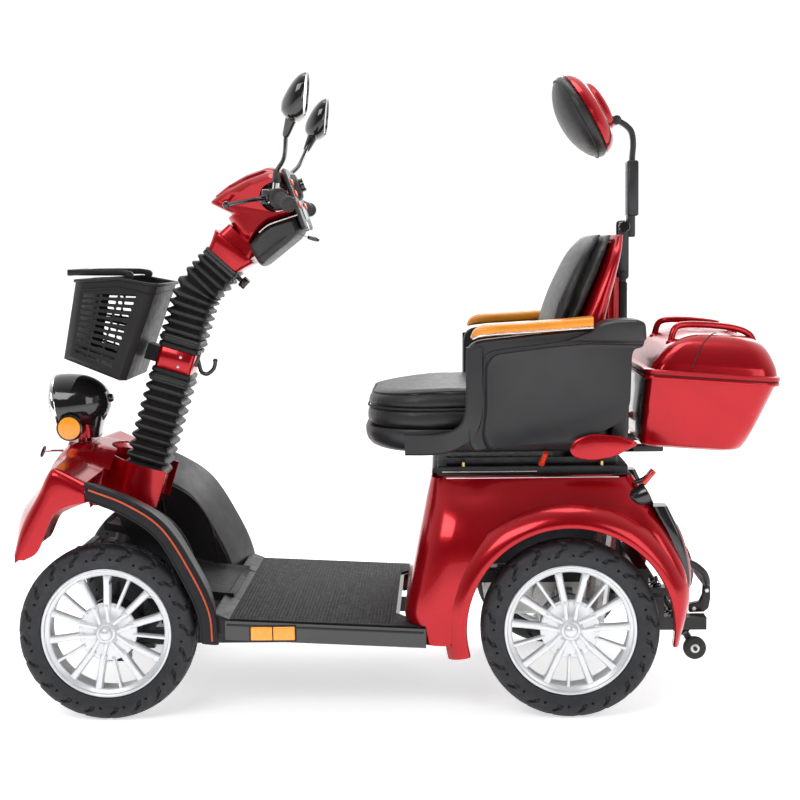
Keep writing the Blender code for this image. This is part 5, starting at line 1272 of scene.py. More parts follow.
def show_basket_rim():
    """Rolled rim round the basket's mouth and the ridge below it."""
    for name, drop, grow, radius in (("basket_rim", 0.002, 0.0015, 0.0042),
                                     ("basket_band", 0.023, 0.0008, 0.0022)):
        corners = [(-0.745, 0.997), (-0.64, 1.001), (-0.55, 0.984)]
        y_side = BASKET_HALF + grow
        front_x, front_z = corners[0]
        rear_x, rear_z = corners[2]
        lean = 0.37 * drop
        path = [
            (front_x - grow, -y_side + BASKET_CHAMFER, front_z - drop),
            (front_x + BASKET_CHAMFER - grow, -y_side, front_z - drop),
            (-0.64, -y_side, corners[1][1] - drop),
            (rear_x - BASKET_CHAMFER - lean, -y_side, rear_z + 0.003 - drop),
            (rear_x + grow - lean, -y_side + BASKET_CHAMFER, rear_z - drop),
            (rear_x + grow - lean, y_side - BASKET_CHAMFER, rear_z - drop),
            (rear_x - BASKET_CHAMFER - lean, y_side, rear_z + 0.003 - drop),
            (-0.64, y_side, corners[1][1] - drop),
            (front_x + BASKET_CHAMFER - grow, y_side, front_z - drop),
            (front_x - grow, y_side - BASKET_CHAMFER, front_z - drop),
        ]
        rim = tube(name, [Vector(p) for p in path], radius, cyclic=True, resolution=3)
        show(rim, "black_plastic", "tiller", (), 40)


def make_basket_handle():
    """Flat bar handle: hinged by round bosses on the sides, square at its front end."""
    path = [(-0.619, 1.01), (-0.64, 1.0125), (-0.69, 1.0135), (-0.745, 1.014), (-0.768, 1.014)]
    arms = []
    for side in (-1, 1):
        loops = []
        for k, (x, z) in enumerate(path):
            y = side * (0.114 - 0.03 * k / 4)
            tall = 0.0062 + 0.0012 * math.sin(math.pi * k / 4)
            loops.append([(x, y - 0.0042, z - tall), (x, y + 0.0042, z - tall), (x, y + 0.0052, z),
                          (x, y + 0.0042, z + tall), (x, y - 0.0042, z + tall), (x, y - 0.0052, z)])
        arms.append(loft("arm", loops))
        arms.append(rod("boss", (-0.619, side * 0.106, 1.006), (-0.619, side * 0.12, 1.006), 0.0095,
                        bevel=0.0015))
    arms.append(box("grip", (-0.7745, -0.088, 1.0065), (-0.762, 0.088, 1.0215), 0.003))
    handle = bevelled(joined("basket_bail_bar", arms), 0.0009, 2, 40)
    show(handle, "black_plastic", "basket_bail", ("basket_handle",), 40)


make_column()
make_tiller_cap()
make_basket()
make_basket_handle()


# ---------------------------------------------------------------- tiller head

HEAD_CENTRE = (-0.29, 1.16)
RED_HEAD = [(-0.442, 1.177), (-0.4, 1.21), (-0.345, 1.238), (-0.288, 1.256), (-0.258, 1.25),
            (-0.2226, 1.146), (-0.29, 1.126), (-0.318, 1.106), (-0.346, 1.072), (-0.362, 1.082),
            (-0.398, 1.14), (-0.384, 1.147)]
SPLIT_LINE = [(-0.2222, 1.145), (-0.2897, 1.125), (-0.3175, 1.105), (-0.345, 1.07)]
GREY_HEAD = SPLIT_LINE + [(-0.32, 1.027), (-0.31, 1.02), (-0.221, 1.09), (-0.209, 1.108)]


def pillow(name, corners, centre, half, squeeze, roundness, stations=15, power=2.6, front_narrow=0.0):
    """Side outline carried across the width: full in the middle, drawn in towards the sides."""
    loop = dense_outline(corners, roundness, 5)
    mid = Vector((centre[0], 0, centre[1]))
    low = min(p.x for p in loop)
    high = max(p.x for p in loop)
    rows = []
    for k in range(stations):
        u = -1 + 2 * k / (stations - 1)
        u = signed_power(u, 0.8)
        shrink = 1 - squeeze * abs(u) ** power
        edge = 1 - 0.1 * smoothstep(0.9, 1.0, abs(u))
        row = []
        for p in loop:
            q = mid + (p - mid) * shrink * edge
            taper = 1 - front_narrow * (1 - (p.x - low) / (high - low)) ** 2
            row.append(Vector((q.x, half * u * taper, q.z)))
        rows.append(row)
    return loft(name, rows)


def make_head():
    red = pillow("head_shell", RED_HEAD, HEAD_CENTRE, 0.118, 0.22, 0.01, 19, 2.4, 0.75)
    cuts = []
    for side in (-1, 1):
        start, end = Vector((-0.278, side * 0.07, 1.186)), Vector((-0.262, side * 0.15, 1.184))
        cuts.append(rod("hand", start, end, 0.034, 0.037, 64))
    under = plate("under", [(x, z + 0.0004) for x, z in SPLIT_LINE] + [(-0.345, 1.0), (-0.15, 1.0),
            (-0.15, 1.146)],
                  -0.2, 0.2, 0)
    hollow_corners = [(x * 0.86 - 0.29 * 0.14, z * 0.86 + 1.16 * 0.14) for x, z in RED_HEAD]
    hollow = pillow("hollow", hollow_corners, HEAD_CENTRE, 0.104, 0.22, 0.008, 15, 2.4, 0.75)
    red = combined(red, [], [hollow, *cuts, under])
    show(red, "red_paint", "tiller_head", ("tiller_head_cover",), 42)
    ridge_corners = [(-0.43, 1.1905), (-0.398, 1.215), (-0.345, 1.2425), (-0.29, 1.26), (-0.264, 1.255),
                     (-0.272, 1.238), (-0.33, 1.223), (-0.39, 1.195)]
    ridge = pillow("head_ridge", ridge_corners, (-0.335, 1.215), 0.072, 0.16, 0.006, 13, 2.2, 0.72)
    show(ridge, "red_paint", "tiller_head", (), 42)
    rims = []
    for side in (-1, 1):
        place = axes_at((-0.2655, side * 0.1085, 1.1855), -side * 90, "X")
        rims.append(turned("cuff", [(0.0215, -0.03), (0.0245, -0.03), (0.033, 0.0), (0.0335, 0.004),
                                    (0.03, 0.004), (0.0225, -0.02)], 48, place))
    show(joined("hand_recess", rims), "gloss_black", "tiller_head", (), 45)
    grey = pillow("head_underside", GREY_HEAD, (-0.27, 1.075), 0.1, 0.16, 0.009, 17, 3.0, 0.18)
    show(grey, "grey_plastic", "tiller_head", ("tiller_lower_cover",), 40)
    seam_line = [(-0.231, -0.0935, 1.1035), (-0.262, -0.0985, 1.083), (-0.292, -0.0955, 1.061),
                 (-0.318, -0.086, 1.041)]
    seams = []
    for side in (-1, 1):
        seams.append(tube("seam", smooth_line([(x, -side * y, z) for x, y, z in seam_line], 6), 0.0011,
                          resolution=2))
    show(joined("head_seams", seams), "seam", "tiller_head", (), 60)
    make_dashboard()
    lip = []
    for side in (-1, 1):
        lip.append(tube("strip", smooth_line([(x, side * y, z) for x, y, z in (
            (-0.215, 0.102, 1.144), (-0.25, 0.103, 1.133), (-0.288, 0.0985, 1.12), (-0.312, 0.09, 1.103))],
            6), 0.002, resolution=3))
    show(joined("head_trim", lip), "zinc", "tiller_head", (), 60)


def make_dashboard():
    top, low = Vector((-0.2526, 0, 1.2518)), Vector((-0.2037, 0, 1.1083))
    down = (low - top).normalized()
    out = Vector((-down.z, 0, down.x))
    rows = []
    for depth, grow in ((-0.0048, -0.003), (-0.002, 0.0), (0.003, 0.0), (0.0055, -0.003), (0.0058, -0.01)):
        loop = rounded_rectangle(-0.0755 - grow, 0.0755 + grow, 0.1055 + grow, (0.018, 0.018), 6)
        middle = (top + low) / 2
        rows.append([middle + down * a + Vector((0, b, 0)) + out * depth for a, b in loop])
    panel = loft("dash_panel", rows)
    show(panel, "grey_plastic", "tiller_head", ("dashboard",), 40)
    middle = (top + low) / 2 + out * 0.0058
    face = pointing(out, "Y")

    def place(a, b, lift=0.0):
        return Matrix.Translation(middle + down * a + Vector((0, b, 0)) + out * lift) @ face

    hump = turned("hump", [(0, 0.0), (0.033, 0.0), (0.032, 0.006), (0.028, 0.011), (0.014, 0.014),
                           (0, 0.0145)], 64,
                  place(-0.03, 0.0))
    show(hump, "grey_plastic", "tiller_head", (), 40)
    dial = turned("speed_dial", [(0, 0.0145), (0.015, 0.0145), (0.0165, 0.015), (0.016, 0.0235),
                                 (0.012, 0.025), (0, 0.0252)], 64, place(-0.03, 0.0))
    show(dial, "gloss_black", "tiller_head", (), 40)
    keys = []
    for b in (-0.078, -0.056, 0.056, 0.078):
        for a in (-0.04, -0.012, 0.016):
            keys.append(turned("button", [(0, 0.0), (0.0082, 0.0), (0.008, 0.003), (0.006, 0.0042),
                                          (0, 0.0044)], 32,
                               place(a, b)))
    show(joined("dash_buttons", keys), "lever_orange", "tiller_head", (), 40)
    screen = []
    for depth, grow in ((0.0, 0.0), (0.0022, -0.001)):
        loop = rounded_rectangle(0.02 - grow, 0.052 + grow, 0.038 + grow, (0.004, 0.004), 3)
        screen.append([middle + down * a + Vector((0, b, 0)) + out * depth for a, b in loop])
    show(loft("dash_gauge", screen), "gloss_black", "tiller_head", (), 40)
    boss = turned("key_boss", [(0, -0.004), (0.012, -0.004), (0.0125, 0.0), (0.0115, 0.0038),
                               (0.0062, 0.0045), (0.0, 0.0045)],
                  48, place(0.0685, -0.03, -0.0035))
    show(boss, "zinc", "tiller_head", (), 40)


def grip_piece(name, side):
    """Ribbed hand grip with its flange and end ball, along the bar."""
    start, end = Vector((-0.262, side * 0.15, 1.183)), Vector((-0.222, side * 0.262, 1.163))
    way = (end - start).normalized()
    place = Matrix.Translation(start) @ pointing(way)
    length = (end - start).length
    profile = [(0.0, 0.018), (0.02, 0.018), (0.0232, 0.0195), (0.0235, 0.023), (0.02, 0.025),
               (0.0155, 0.027)]
    count = 15
    first, last = 0.0285, length - 0.01
    for k in range(count):
        h = first + (last - first) * k / count
        step = (last - first) / count
        profile += [(0.0162, h), (0.0162, h + 0.55 * step), (0.0148, h + 0.68 * step),
                    (0.0148, h + 0.92 * step)]
    profile += [(0.016, last), (0.0178, last + 0.002), (0.0182, last + 0.009), (0.0165, last + 0.015),
                (0.01, last + 0.0185), (0.0, last + 0.019)]
    return turned(name, profile, 48, place)


def lever_piece(name, side):
    """Short blade from its pivot in front of the bar, curved outwards to a ball end."""
    pivot = Vector((-0.29, side * 0.156, 1.178))
    tip = Vector((-0.362, side * 0.272, 1.163))
    line = smooth_line([pivot, pivot + Vector((-0.024, side * 0.02, -0.001)),
                        Vector((-0.336, side * 0.212, 1.171)), tip], 8)

    def section(share, along):
        across = along.cross(Vector((0, 0, 1))).normalized()
        wide = 0.0075 - 0.0025 * share
        tall = 0.0048 - 0.0008 * share
        return [across * a + Vector((0, 0, b)) for a, b in (
            (-wide, -tall * 0.4), (-wide * 0.6, -tall), (wide * 0.6, -tall), (wide, -tall * 0.4),
            (wide, tall * 0.4), (wide * 0.6, tall), (-wide * 0.6, tall), (-wide, tall * 0.4))]
    blade = ribbon("blade", line, section)
    ball = turned("ball", [(0, -0.0085), (0.0055, -0.0065), (0.0085, 0.0), (0.0055, 0.0065), (0, 0.0085)],
                  32, Matrix.Translation(tip))
    barrel = rod("barrel", pivot - Vector((0, 0, 0.0085)), pivot + Vector((0, 0, 0.0085)), 0.0095,
                 bevel=0.0012)
    return joined(name, [blade, ball, barrel])


def make_bar():
    for name, body, node, side in (("left_grip_rubber", "tiller_head", "left_grip", -1),
                                   ("throttle_rubber", "throttle", "throttle_grip", 1)):
        show(grip_piece(name, side), "grip_rubber", body, (node,), 40)
    for word, side in SIDES:
        lever = lever_piece(f"{word}_lever_blade", side)
        show(lever, "gloss_black", f"{word}_brake", (f"{word}_brake_lever",), 45)
        clamp = []
        centre = Vector((-0.268, side * 0.1365, 1.1852))
        clamp.append(rod("perch", centre + Vector((0, side * -0.011, 0)),
                         centre + Vector((0, side * 0.011, 0)), 0.0165, bevel=0.002))
        for dx, dz in ((-0.01, 0.0155), (0.0085, 0.015)):
            clamp.append(rod("screw", centre + Vector((dx, side * 0.004, dz - 0.003)),
                             centre + Vector((dx, side * 0.004, dz + 0.0035)), 0.0032, bevel=0.0008))
        show(joined(f"{word}_perch_clamp", clamp), "grey_steel", "tiller_head", (), 45)


def make_key():
    blade_from, blade_to = Vector((-0.235, -0.03, 1.0998)), Vector((-0.202, -0.03, 1.0904))
    way = (blade_to - blade_from).normalized()
    side_way = Vector((0, 1, 0))
    up = way.cross(side_way).normalized()
    place = Matrix((way, side_way, up)).transposed().to_4x4()
    place.translation = blade_to
    blade = box("blade", (-0.018, -0.004, -0.0011), (0.004, 0.004, 0.0011), 0.0005)
    fob = loft("fob", inset_stack(0.0, 0.029, 0.0115, ((-0.0045, 0.0015), (-0.003, 0.0), (0.003, 0.0),
                                                       (0.0045, 0.0015)),
                                  (0.005, 0.01), 6))
    for piece in (blade, fob):
        piece.data.transform(place)
    show(fob, "gloss_black", "key", ("ignition_key",), 45).name = "key_fob"
    show(blade, "zinc", "key", (), 45).name = "key_blade"
    inset = loft("key_inset", stack([(h, 0.012, 0.024, 0.007) for h in (-0.0049, 0.0049)], (0.003, 0.005),
                                    5))
    inset.data.transform(place)
    show(inset, "zinc", "key", (), 45)


def mirror_ring(centre, wide, tall):
    """Squarish oval, leaning a little, seen from the rider's seat."""
    row = []
    for k in range(40):
        angle = 2 * math.pi * k / 40
        high = signed_power(math.sin(angle), 0.75) * tall
        row.append(Vector(centre) + Vector((0.1 * high, signed_power(math.cos(angle), 0.75) * wide, high)))
    return row


def make_mirrors():
    for word, side in SIDES:
        body = f"{word}_rear_view_mirror"
        foot = Vector((-0.263, side * 0.136, 1.2175))
        neck = Vector((-0.226, side * 0.25, 1.318))
        line = smooth_line([foot + Vector((0, 0, 0.01)), foot + Vector((0.004, side * 0.002, 0.03)),
                            (-0.24, side * 0.172, 1.272), neck], 8)
        stem = tube("stem", line, 0.0054)
        show(stem, "gloss_black", body, (), 60).name = f"{word}_mirror_stem"
        socket = turned("socket", [(0, 0.0), (0.0105, 0.0), (0.011, 0.004), (0.0095, 0.012), (0.007, 0.024),
                                   (0.0055, 0.03), (0, 0.03)], 6, Matrix.Translation(foot))
        show(socket, "steel", body, (), 30).name = f"{word}_mirror_socket"
        rows = []
        for depth, tall, wide in ((0.0, 0.045, 0.05), (-0.004, 0.0465, 0.0515), (-0.0046, 0.048, 0.053),
                                  (-0.0035, 0.0495, 0.0545), (0.0025, 0.0505, 0.0555),
                                  (0.01, 0.0512, 0.0565), (0.018, 0.049, 0.054), (0.027, 0.0435, 0.048),
                                  (0.036, 0.034, 0.038), (0.044, 0.023, 0.026), (0.05, 0.0125, 0.015)):
            rows.append(mirror_ring((-0.18 - depth, side * 0.285, 1.4 - 0.45 * depth), wide, tall))
        shell = loft(f"{word}_mirror_shell", rows)
        show(shell, "gloss_black", body, (f"{word}_mirror",), 45)
        face = [mirror_ring((-0.18 + depth, side * 0.285, 1.4), 0.052 + grow, 0.044 + grow)
                for depth, grow in ((0.0002, 0.0006), (0.0014, 0.0))]
        show(loft(f"{word}_mirror_glass", face), "mirror_glass", body, (), 45)
        boot_way = Vector((-0.205, side * 0.278, 1.368)) - neck
        boot = [(0, -0.004), (0.0068, -0.004), (0.0085, 0.0), (0.011, 0.022), (0.0135, 0.044),
                (0.012, boot_way.length), (0, boot_way.length + 0.001)]
        place = Matrix.Translation(neck) @ pointing(boot_way)
        show(turned(f"{word}_mirror_boot", boot, 32, place), "gloss_black", body, (), 45)


make_head()
make_bar()
make_key()
make_mirrors()


# ---------------------------------------------------------------- seat

SIDE_WALL = [(0.184, 0.6), (0.172, 0.64), (0.172, 0.82), (0.18, 0.842), (0.2, 0.852), (0.32, 0.864),
             (0.425, 0.874), (0.572, 0.874), (0.572, 0.832), (0.545, 0.828), (0.541, 0.7), (0.52, 0.664),
             (0.47, 0.638), (0.38, 0.621), (0.28, 0.612), (0.21, 0.604)]
RECESS = [(0.205, 0.634), (0.213, 0.69), (0.213, 0.796), (0.232, 0.822), (0.37, 0.838), (0.45, 0.844),
          (0.6, 0.838), (0.6, 0.6), (0.468, 0.6), (0.38, 0.6), (0.28, 0.6), (0.22, 0.6)]


def seat_plan(inset):
    """Plan of the seat's tub: a wide round front and square rear corners."""
    return rounded_rectangle(-0.066 + inset, 0.5, 0.246 - inset, (0.15, 0.03), 12, 8)


def side_wall(side):
    """Solid side of the armchair with a rolled edge; recess_cut sinks its panel."""
    loop = dense_outline(SIDE_WALL, 0.02, 4)
    outer_y, inner_y = side * 0.29, side * 0.244
    mid = Vector((0.355, 0, 0.735))
    levels = ((inner_y, 0.988, 0.985), (inner_y + side * 0.004, 1, 1), (outer_y - side * 0.01, 1, 1),
              (outer_y - side * 0.003, 0.99, 0.987), (outer_y, 0.972, 0.966))
    return loft("side_wall", [side_ring(loop, mid, y, along, up) for y, along, up in levels])


def recess_cut(side):
    """The sunken panel of the side, open to the rear so that only the front and top keep their border."""
    loop = dense_outline(RECESS, 0.018, 4)
    mid = Vector((0.4, 0, 0.735))
    levels = ((0.275, 0.93), (0.277, 0.965), (0.283, 0.985), (0.2885, 1.0), (0.295, 1.012))
    return loft("recess", [side_ring(loop, mid, side * y, scale, scale) for y, scale in levels])


def make_seat_shell():
    levels = ((0.5895, 0.034), (0.5925, 0.026), (0.6, 0.014), (0.612, 0.005), (0.625, 0.001), (0.64, 0.0),
              (0.646, 0.002))
    base = loft("seat_tub", [[(x, y, z) for x, y in seat_plan(inset)] for z, inset in levels])
    back_levels = ((0.6, 0.5, 0.536), (0.64, 0.503, 0.542), (0.78, 0.505, 0.545), (0.832, 0.505, 0.545),
                   (0.84, 0.509, 0.541))
    back = loft("back_wall", stack([(*level, 0.248) for level in back_levels], (0.008, 0.012), 4))
    shell = combined(base, [side_wall(-1), side_wall(1), back], [recess_cut(-1), recess_cut(1)])
    shell.name = "armchair_shell"
    show(shell, "shell_plastic", "seat", ("seat_shell",), 40)
    for word, side in SIDES:
        path = [(0.1915, 0.2895, 0.838), (0.1915, 0.2905, 0.77), (0.19, 0.29, 0.695), (0.176, 0.285, 0.652),
                (0.143, 0.273, 0.625), (0.095, 0.258, 0.613), (0.03, 0.242, 0.611)]
        line = resampled(smooth_line([(x, side * y, z) for x, y, z in path], 8), 50)

        def band(share, along):
            across = along.cross(Vector((0, 1, 0))).normalized()
            wide = 0.0195 + 0.004 * share
            return [across * a + Vector((0, side * b, 0)) for a, b in (
                (-wide, -0.01), (-wide, 0.0005), (-wide + 0.004, 0.0045), (wide - 0.004, 0.0045),
                (wide, 0.0005), (wide, -0.01))]
        show(ribbon(f"{word}_side_border", line, band), "shell_plastic", "seat", (), 40)
        # The thin ridge along the border's inner edge is real, but its lighter metal finish is a painted
        # highlight standing in for the light the ridge catches.
        bead = [(0.447, 0.2925, 0.857), (0.3707, 0.293, 0.8445), (0.25, 0.293, 0.83), (0.22, 0.2935, 0.82),
                (0.2125, 0.2935, 0.796), (0.2105, 0.2935, 0.73), (0.208, 0.2925, 0.68),
                (0.196, 0.29, 0.645), (0.17, 0.281, 0.618)]
        highlight_line = smooth_line([(x, side * y, z) for x, y, z in bead], 8)
        show(tube(f"{word}_border_highlight_line", highlight_line, 0.0015, resolution=3), "grey_steel", "seat",
             (), 60)
        cap_rows = []
        for y, grow in ((0.2, -0.01), (0.204, -0.003), (0.212, 0.0), (0.29, 0.0), (0.298, -0.003),
                        (0.302, -0.01)):
            corners = [(0.39, 0.848), (0.4575, 0.874), (0.472, 0.888), (0.5, 0.8955), (0.555, 0.8965),
                       (0.5735, 0.888), (0.5755, 0.846), (0.53, 0.843), (0.47, 0.845)]
            loop = dense_outline(corners, 0.012, 4)
            mid = Vector((0.5165, 0, 0.87))
            cap_rows.append(side_ring(loop, mid, side * y, 1 + grow * 14, 1 + grow * 22))
        cap = loft(f"{word}_arm_cap", cap_rows)
        show(cap, "shell_plastic", "seat", (), 40)


def make_armrests():
    for word, side in SIDES:
        spine = smooth_line([(0.183, 0, 0.859), (0.196, 0, 0.869), (0.23, 0, 0.8755), (0.3, 0, 0.879),
                             (0.38, 0, 0.884), (0.456, 0, 0.8905)], 8)
        spine = resampled(spine, 40)
        rows = []
        for k, p in enumerate(spine):
            t = k / 39
            nose = math.sqrt(max(0.0, 1 - (1 - min(t / 0.16, 1)) ** 2))
            tall = 0.002 + 0.0115 * nose
            wide = 0.01 + 0.023 * nose
            row = []
            for a in range(36):
                angle = 2 * math.pi * a / 36
                c, s = math.cos(angle), math.sin(angle)
                y = signed_power(c, 0.55) * wide
                z = signed_power(s, 0.6) * tall
                ribs = 0.0012 * max(0.0, math.cos(6 * math.pi * y / 0.033)) if s > 0.2 and t > 0.1 else 0.0
                row.append(Vector((p.x, side * 0.267 + y, p.z + z - ribs)))
            rows.append(row)
        pad = loft(f"{word}_arm_pad", rows)
        show(pad, "arm_orange", "seat", (f"{word}_armrest",), 40)
        bead = smooth_line([(0.187, side * 0.29, 0.8565), (0.215, side * 0.2985, 0.865),
                            (0.32, side * 0.299, 0.8715), (0.456, side * 0.299, 0.879)], 8)
        show(tube(f"{word}_arm_bead", bead, 0.0022, resolution=3), "chrome", "seat", (), 60)


# Cloth-inflated cushions. Seams and piping are added after the simulation.

PUFF_FRAMES = 20


def puffed(obj, name, cap, pressure=4.0, voxel=0.0055):
    """Inflate a copy of a pad's form a little, so that it crowns and dimples like stuffed cover."""
    remesh = obj.modifiers.new("Remesh", "REMESH")
    remesh.mode = "VOXEL"
    remesh.voxel_size = voxel
    relax = obj.modifiers.new("Smooth", "SMOOTH")
    relax.factor = 0.5
    relax.iterations = 5
    pad = baked(obj, name)
    start = [v.co.copy() for v in pad.data.vertices]
    cloth = pad.modifiers.new("Cloth", "CLOTH")
    settings = cloth.settings
    settings.use_pressure = True
    settings.uniform_pressure_force = pressure
    settings.effector_weights.gravity = 0
    settings.quality = 4
    settings.tension_stiffness = 20
    settings.compression_stiffness = 20
    settings.bending_stiffness = 4
    settings.shrink_min = -0.01
    scene = bpy.context.scene
    cloth.point_cache.frame_start = 1
    cloth.point_cache.frame_end = PUFF_FRAMES
    for frame_number in range(1, PUFF_FRAMES + 1):
        scene.frame_set(frame_number)
    bpy.context.view_layer.update()
    graph = bpy.context.evaluated_depsgraph_get()
    grown = bpy.data.meshes.new_from_object(pad.evaluated_get(graph))
    ends = [v.co.copy() for v in grown.vertices]
    pad.modifiers.clear()
    for vertex, a, b in zip(pad.data.vertices, start, ends):
        move = b - a
        if move.length > cap:
            move = move.normalized() * cap
        vertex.co = a + move
    scene.frame_set(1)
    return subdivided(pad)


def cushion_plan(inset):
    return rounded_rectangle(-0.062 + inset, 0.5, 0.2415 - inset, (0.148, 0.03), 14, 10)


def make_cushion():
    """Seat cushion in two layers: a firm lower block and a crowned top with a raised border."""
    def layer(name, levels, rear, half_cap):
        rows = []
        for z, inset, rise in levels:
            row = []
            for x, y in cushion_plan(inset):
                back = min(x, rear - inset * 0.5)
                half = half_cap if back > 0.155 else 0.242
                row.append((back, max(min(y, half), -half), z + rise * smoothstep(-0.06, 0.14, x)))
            rows.append(row)
        return loft(name, rows)
    low = layer("cushion_low", ((0.647, 0.012, 0), (0.65, 0.004, 0), (0.66, 0.0, 0), (0.676, 0.0, 0),
                                (0.686, 0.002, 0.001), (0.6905, 0.01, 0.002)), 0.47, 0.241)
    top = layer("cushion_high", ((0.69, 0.012, 0.002), (0.693, 0.003, 0.002), (0.702, 0.0, 0.003),
                                 (0.714, 0.003, 0.005), (0.722, 0.012, 0.008), (0.7255, 0.03, 0.011)),
                                 0.468, 0.241)
    low = puffed(low, "cushion_block", 0.002)
    top = puffed(top, "cushion_top", 0.0045)
    show(low, "leather", "seat", (), None)
    show(top, "leather", "seat", ("seat_cushion",), None)
    pipes = []
    for z, inset, radius in ((0.6905, 0.0035, 0.0026), (0.7215, 0.0135, 0.002)):
        line = []
        for x, y in cushion_plan(inset):
            if x > 0.462:
                continue
            half = 0.24 - inset * 0.3 if x > 0.155 else 0.242
            line.append(Vector((x, max(min(y, half), -half), z + 0.01 * (z > 0.7) * smoothstep(-0.06, 0.14,
                    x) + 0.0015)))
        start = max(range(len(line)), key=lambda i: (line[i] - line[i - 1]).length)
        pipes.append(tube("pipe", line[start:] + line[:start], radius, resolution=3))
    show(joined("cushion_piping", pipes), "seam", "seat", (), 60)


BACK_LEVELS = (
    # z, pad front, pad rear, shell rear, half width
    (0.742, 0.338, 0.418, 0.478, 0.205), (0.86, 0.356, 0.41, 0.492, 0.215),
    (0.93, 0.376, 0.438, 0.505, 0.212), (0.99, 0.402, 0.466, 0.52, 0.2),
    (1.045, 0.432, 0.492, 0.533, 0.176), (1.085, 0.47, 0.512, 0.54, 0.128),
)


def back_section(z, front, rear, half, bulge):
    """Closed section of the backrest: soft corners in front, wrapping forward at the sides."""
    row = []
    for k in range(48):
        a = 2 * math.pi * k / 48
        c, s = math.cos(a), math.sin(a)
        y = signed_power(s, 0.55) * half
        mid, reach = (front + rear) / 2, (rear - front) / 2
        x = mid - signed_power(c, 0.7) * reach
        wrap = bulge * (abs(y) / half) ** 2.0
        row.append((x + wrap, y, z))
    return row


def make_backrest():
    levels = blended_levels(BACK_LEVELS, 5)
    front_rows, rear_rows, shell_rows = [], [], []
    for z, front, rear, shell, half in levels:
        mid = front + (rear - front) * 0.5
        front_rows.append(back_section(z, front, mid, half * 0.985, 0.014))
        rear_rows.append(back_section(z, mid + 0.0006, rear - 0.001, half, 0.014))
        shell_rows.append(back_section(z, rear + 0.001, shell, half, 0.01))
    front_pad = puffed(loft("pad", front_rows), "backrest_front", 0.0045, 4.0)
    rear_pad = puffed(loft("pad", rear_rows), "backrest_rear", 0.0022, 3.0)
    show(front_pad, "leather", "seat", ("backrest_pad",), None)
    show(rear_pad, "leather", "seat", (), None)
    shell = loft("shell", shell_rows)
    shell = bevelled(shell, 0.003, 2, 50)
    shell.name = "backrest_back"
    show(shell, "red_paint", "seat", ("backrest_shell",), 45)
    pillar = stack(((0.76, 0.482, 0.54, 0.045), (0.86, 0.482, 0.541, 0.048), (0.985, 0.482, 0.541, 0.046),
                    (0.992, 0.482, 0.538, 0.04)), (0.006, 0.012), 4)
    show(loft("backrest_pillar", pillar), "red_paint", "seat", (), 45)
    ribs = []
    for k in range(5):
        y = -0.03 + 0.015 * k
        ribs.append(tube("rib", [Vector((0.5415, y, 0.775)), Vector((0.542, y, 0.985))], 0.0022,
                         resolution=3))
    show(joined("pillar_ribs", ribs), "red_paint", "seat", (), 60)
    for word, side in SIDES:
        flutes = []
        for k in range(4):
            x = 0.491 + 0.0135 * k
            flutes.append(tube("flute", [Vector((x - 0.004, side * 0.0475, 0.8)),
                                         Vector((x, side * 0.0475, 0.984))], 0.0042,
                               resolution=4))
        show(joined(f"{word}_flutes", flutes), "red_paint", "seat", (), 60)


def make_seat_badge():
    """Plain red teardrop plates below the arms."""
    for word, side in SIDES:
        outline = dense_outline([(0.4015, 0.604), (0.418, 0.63), (0.456, 0.64), (0.519, 0.634),
                                 (0.562, 0.617), (0.503, 0.587), (0.456, 0.578), (0.415, 0.584)], 0.016, 4)
        mid = Vector((0.475, 0, 0.608))
        rows = [side_ring(outline, mid, side * y, scale, scale)
                for y, scale in ((0.286, 1.0), (0.2915, 1.0), (0.294, 0.95), (0.295, 0.86))]
        show(loft(f"{word}_teardrop", rows), "red_paint", "seat", (), 45)


# ---------------------------------------------------------------- headrest

PAD_PIVOT = Vector((0.5405, 0, 1.358))
DISC_PLACE = axes_at((0.4705, 0, 1.376), -120)


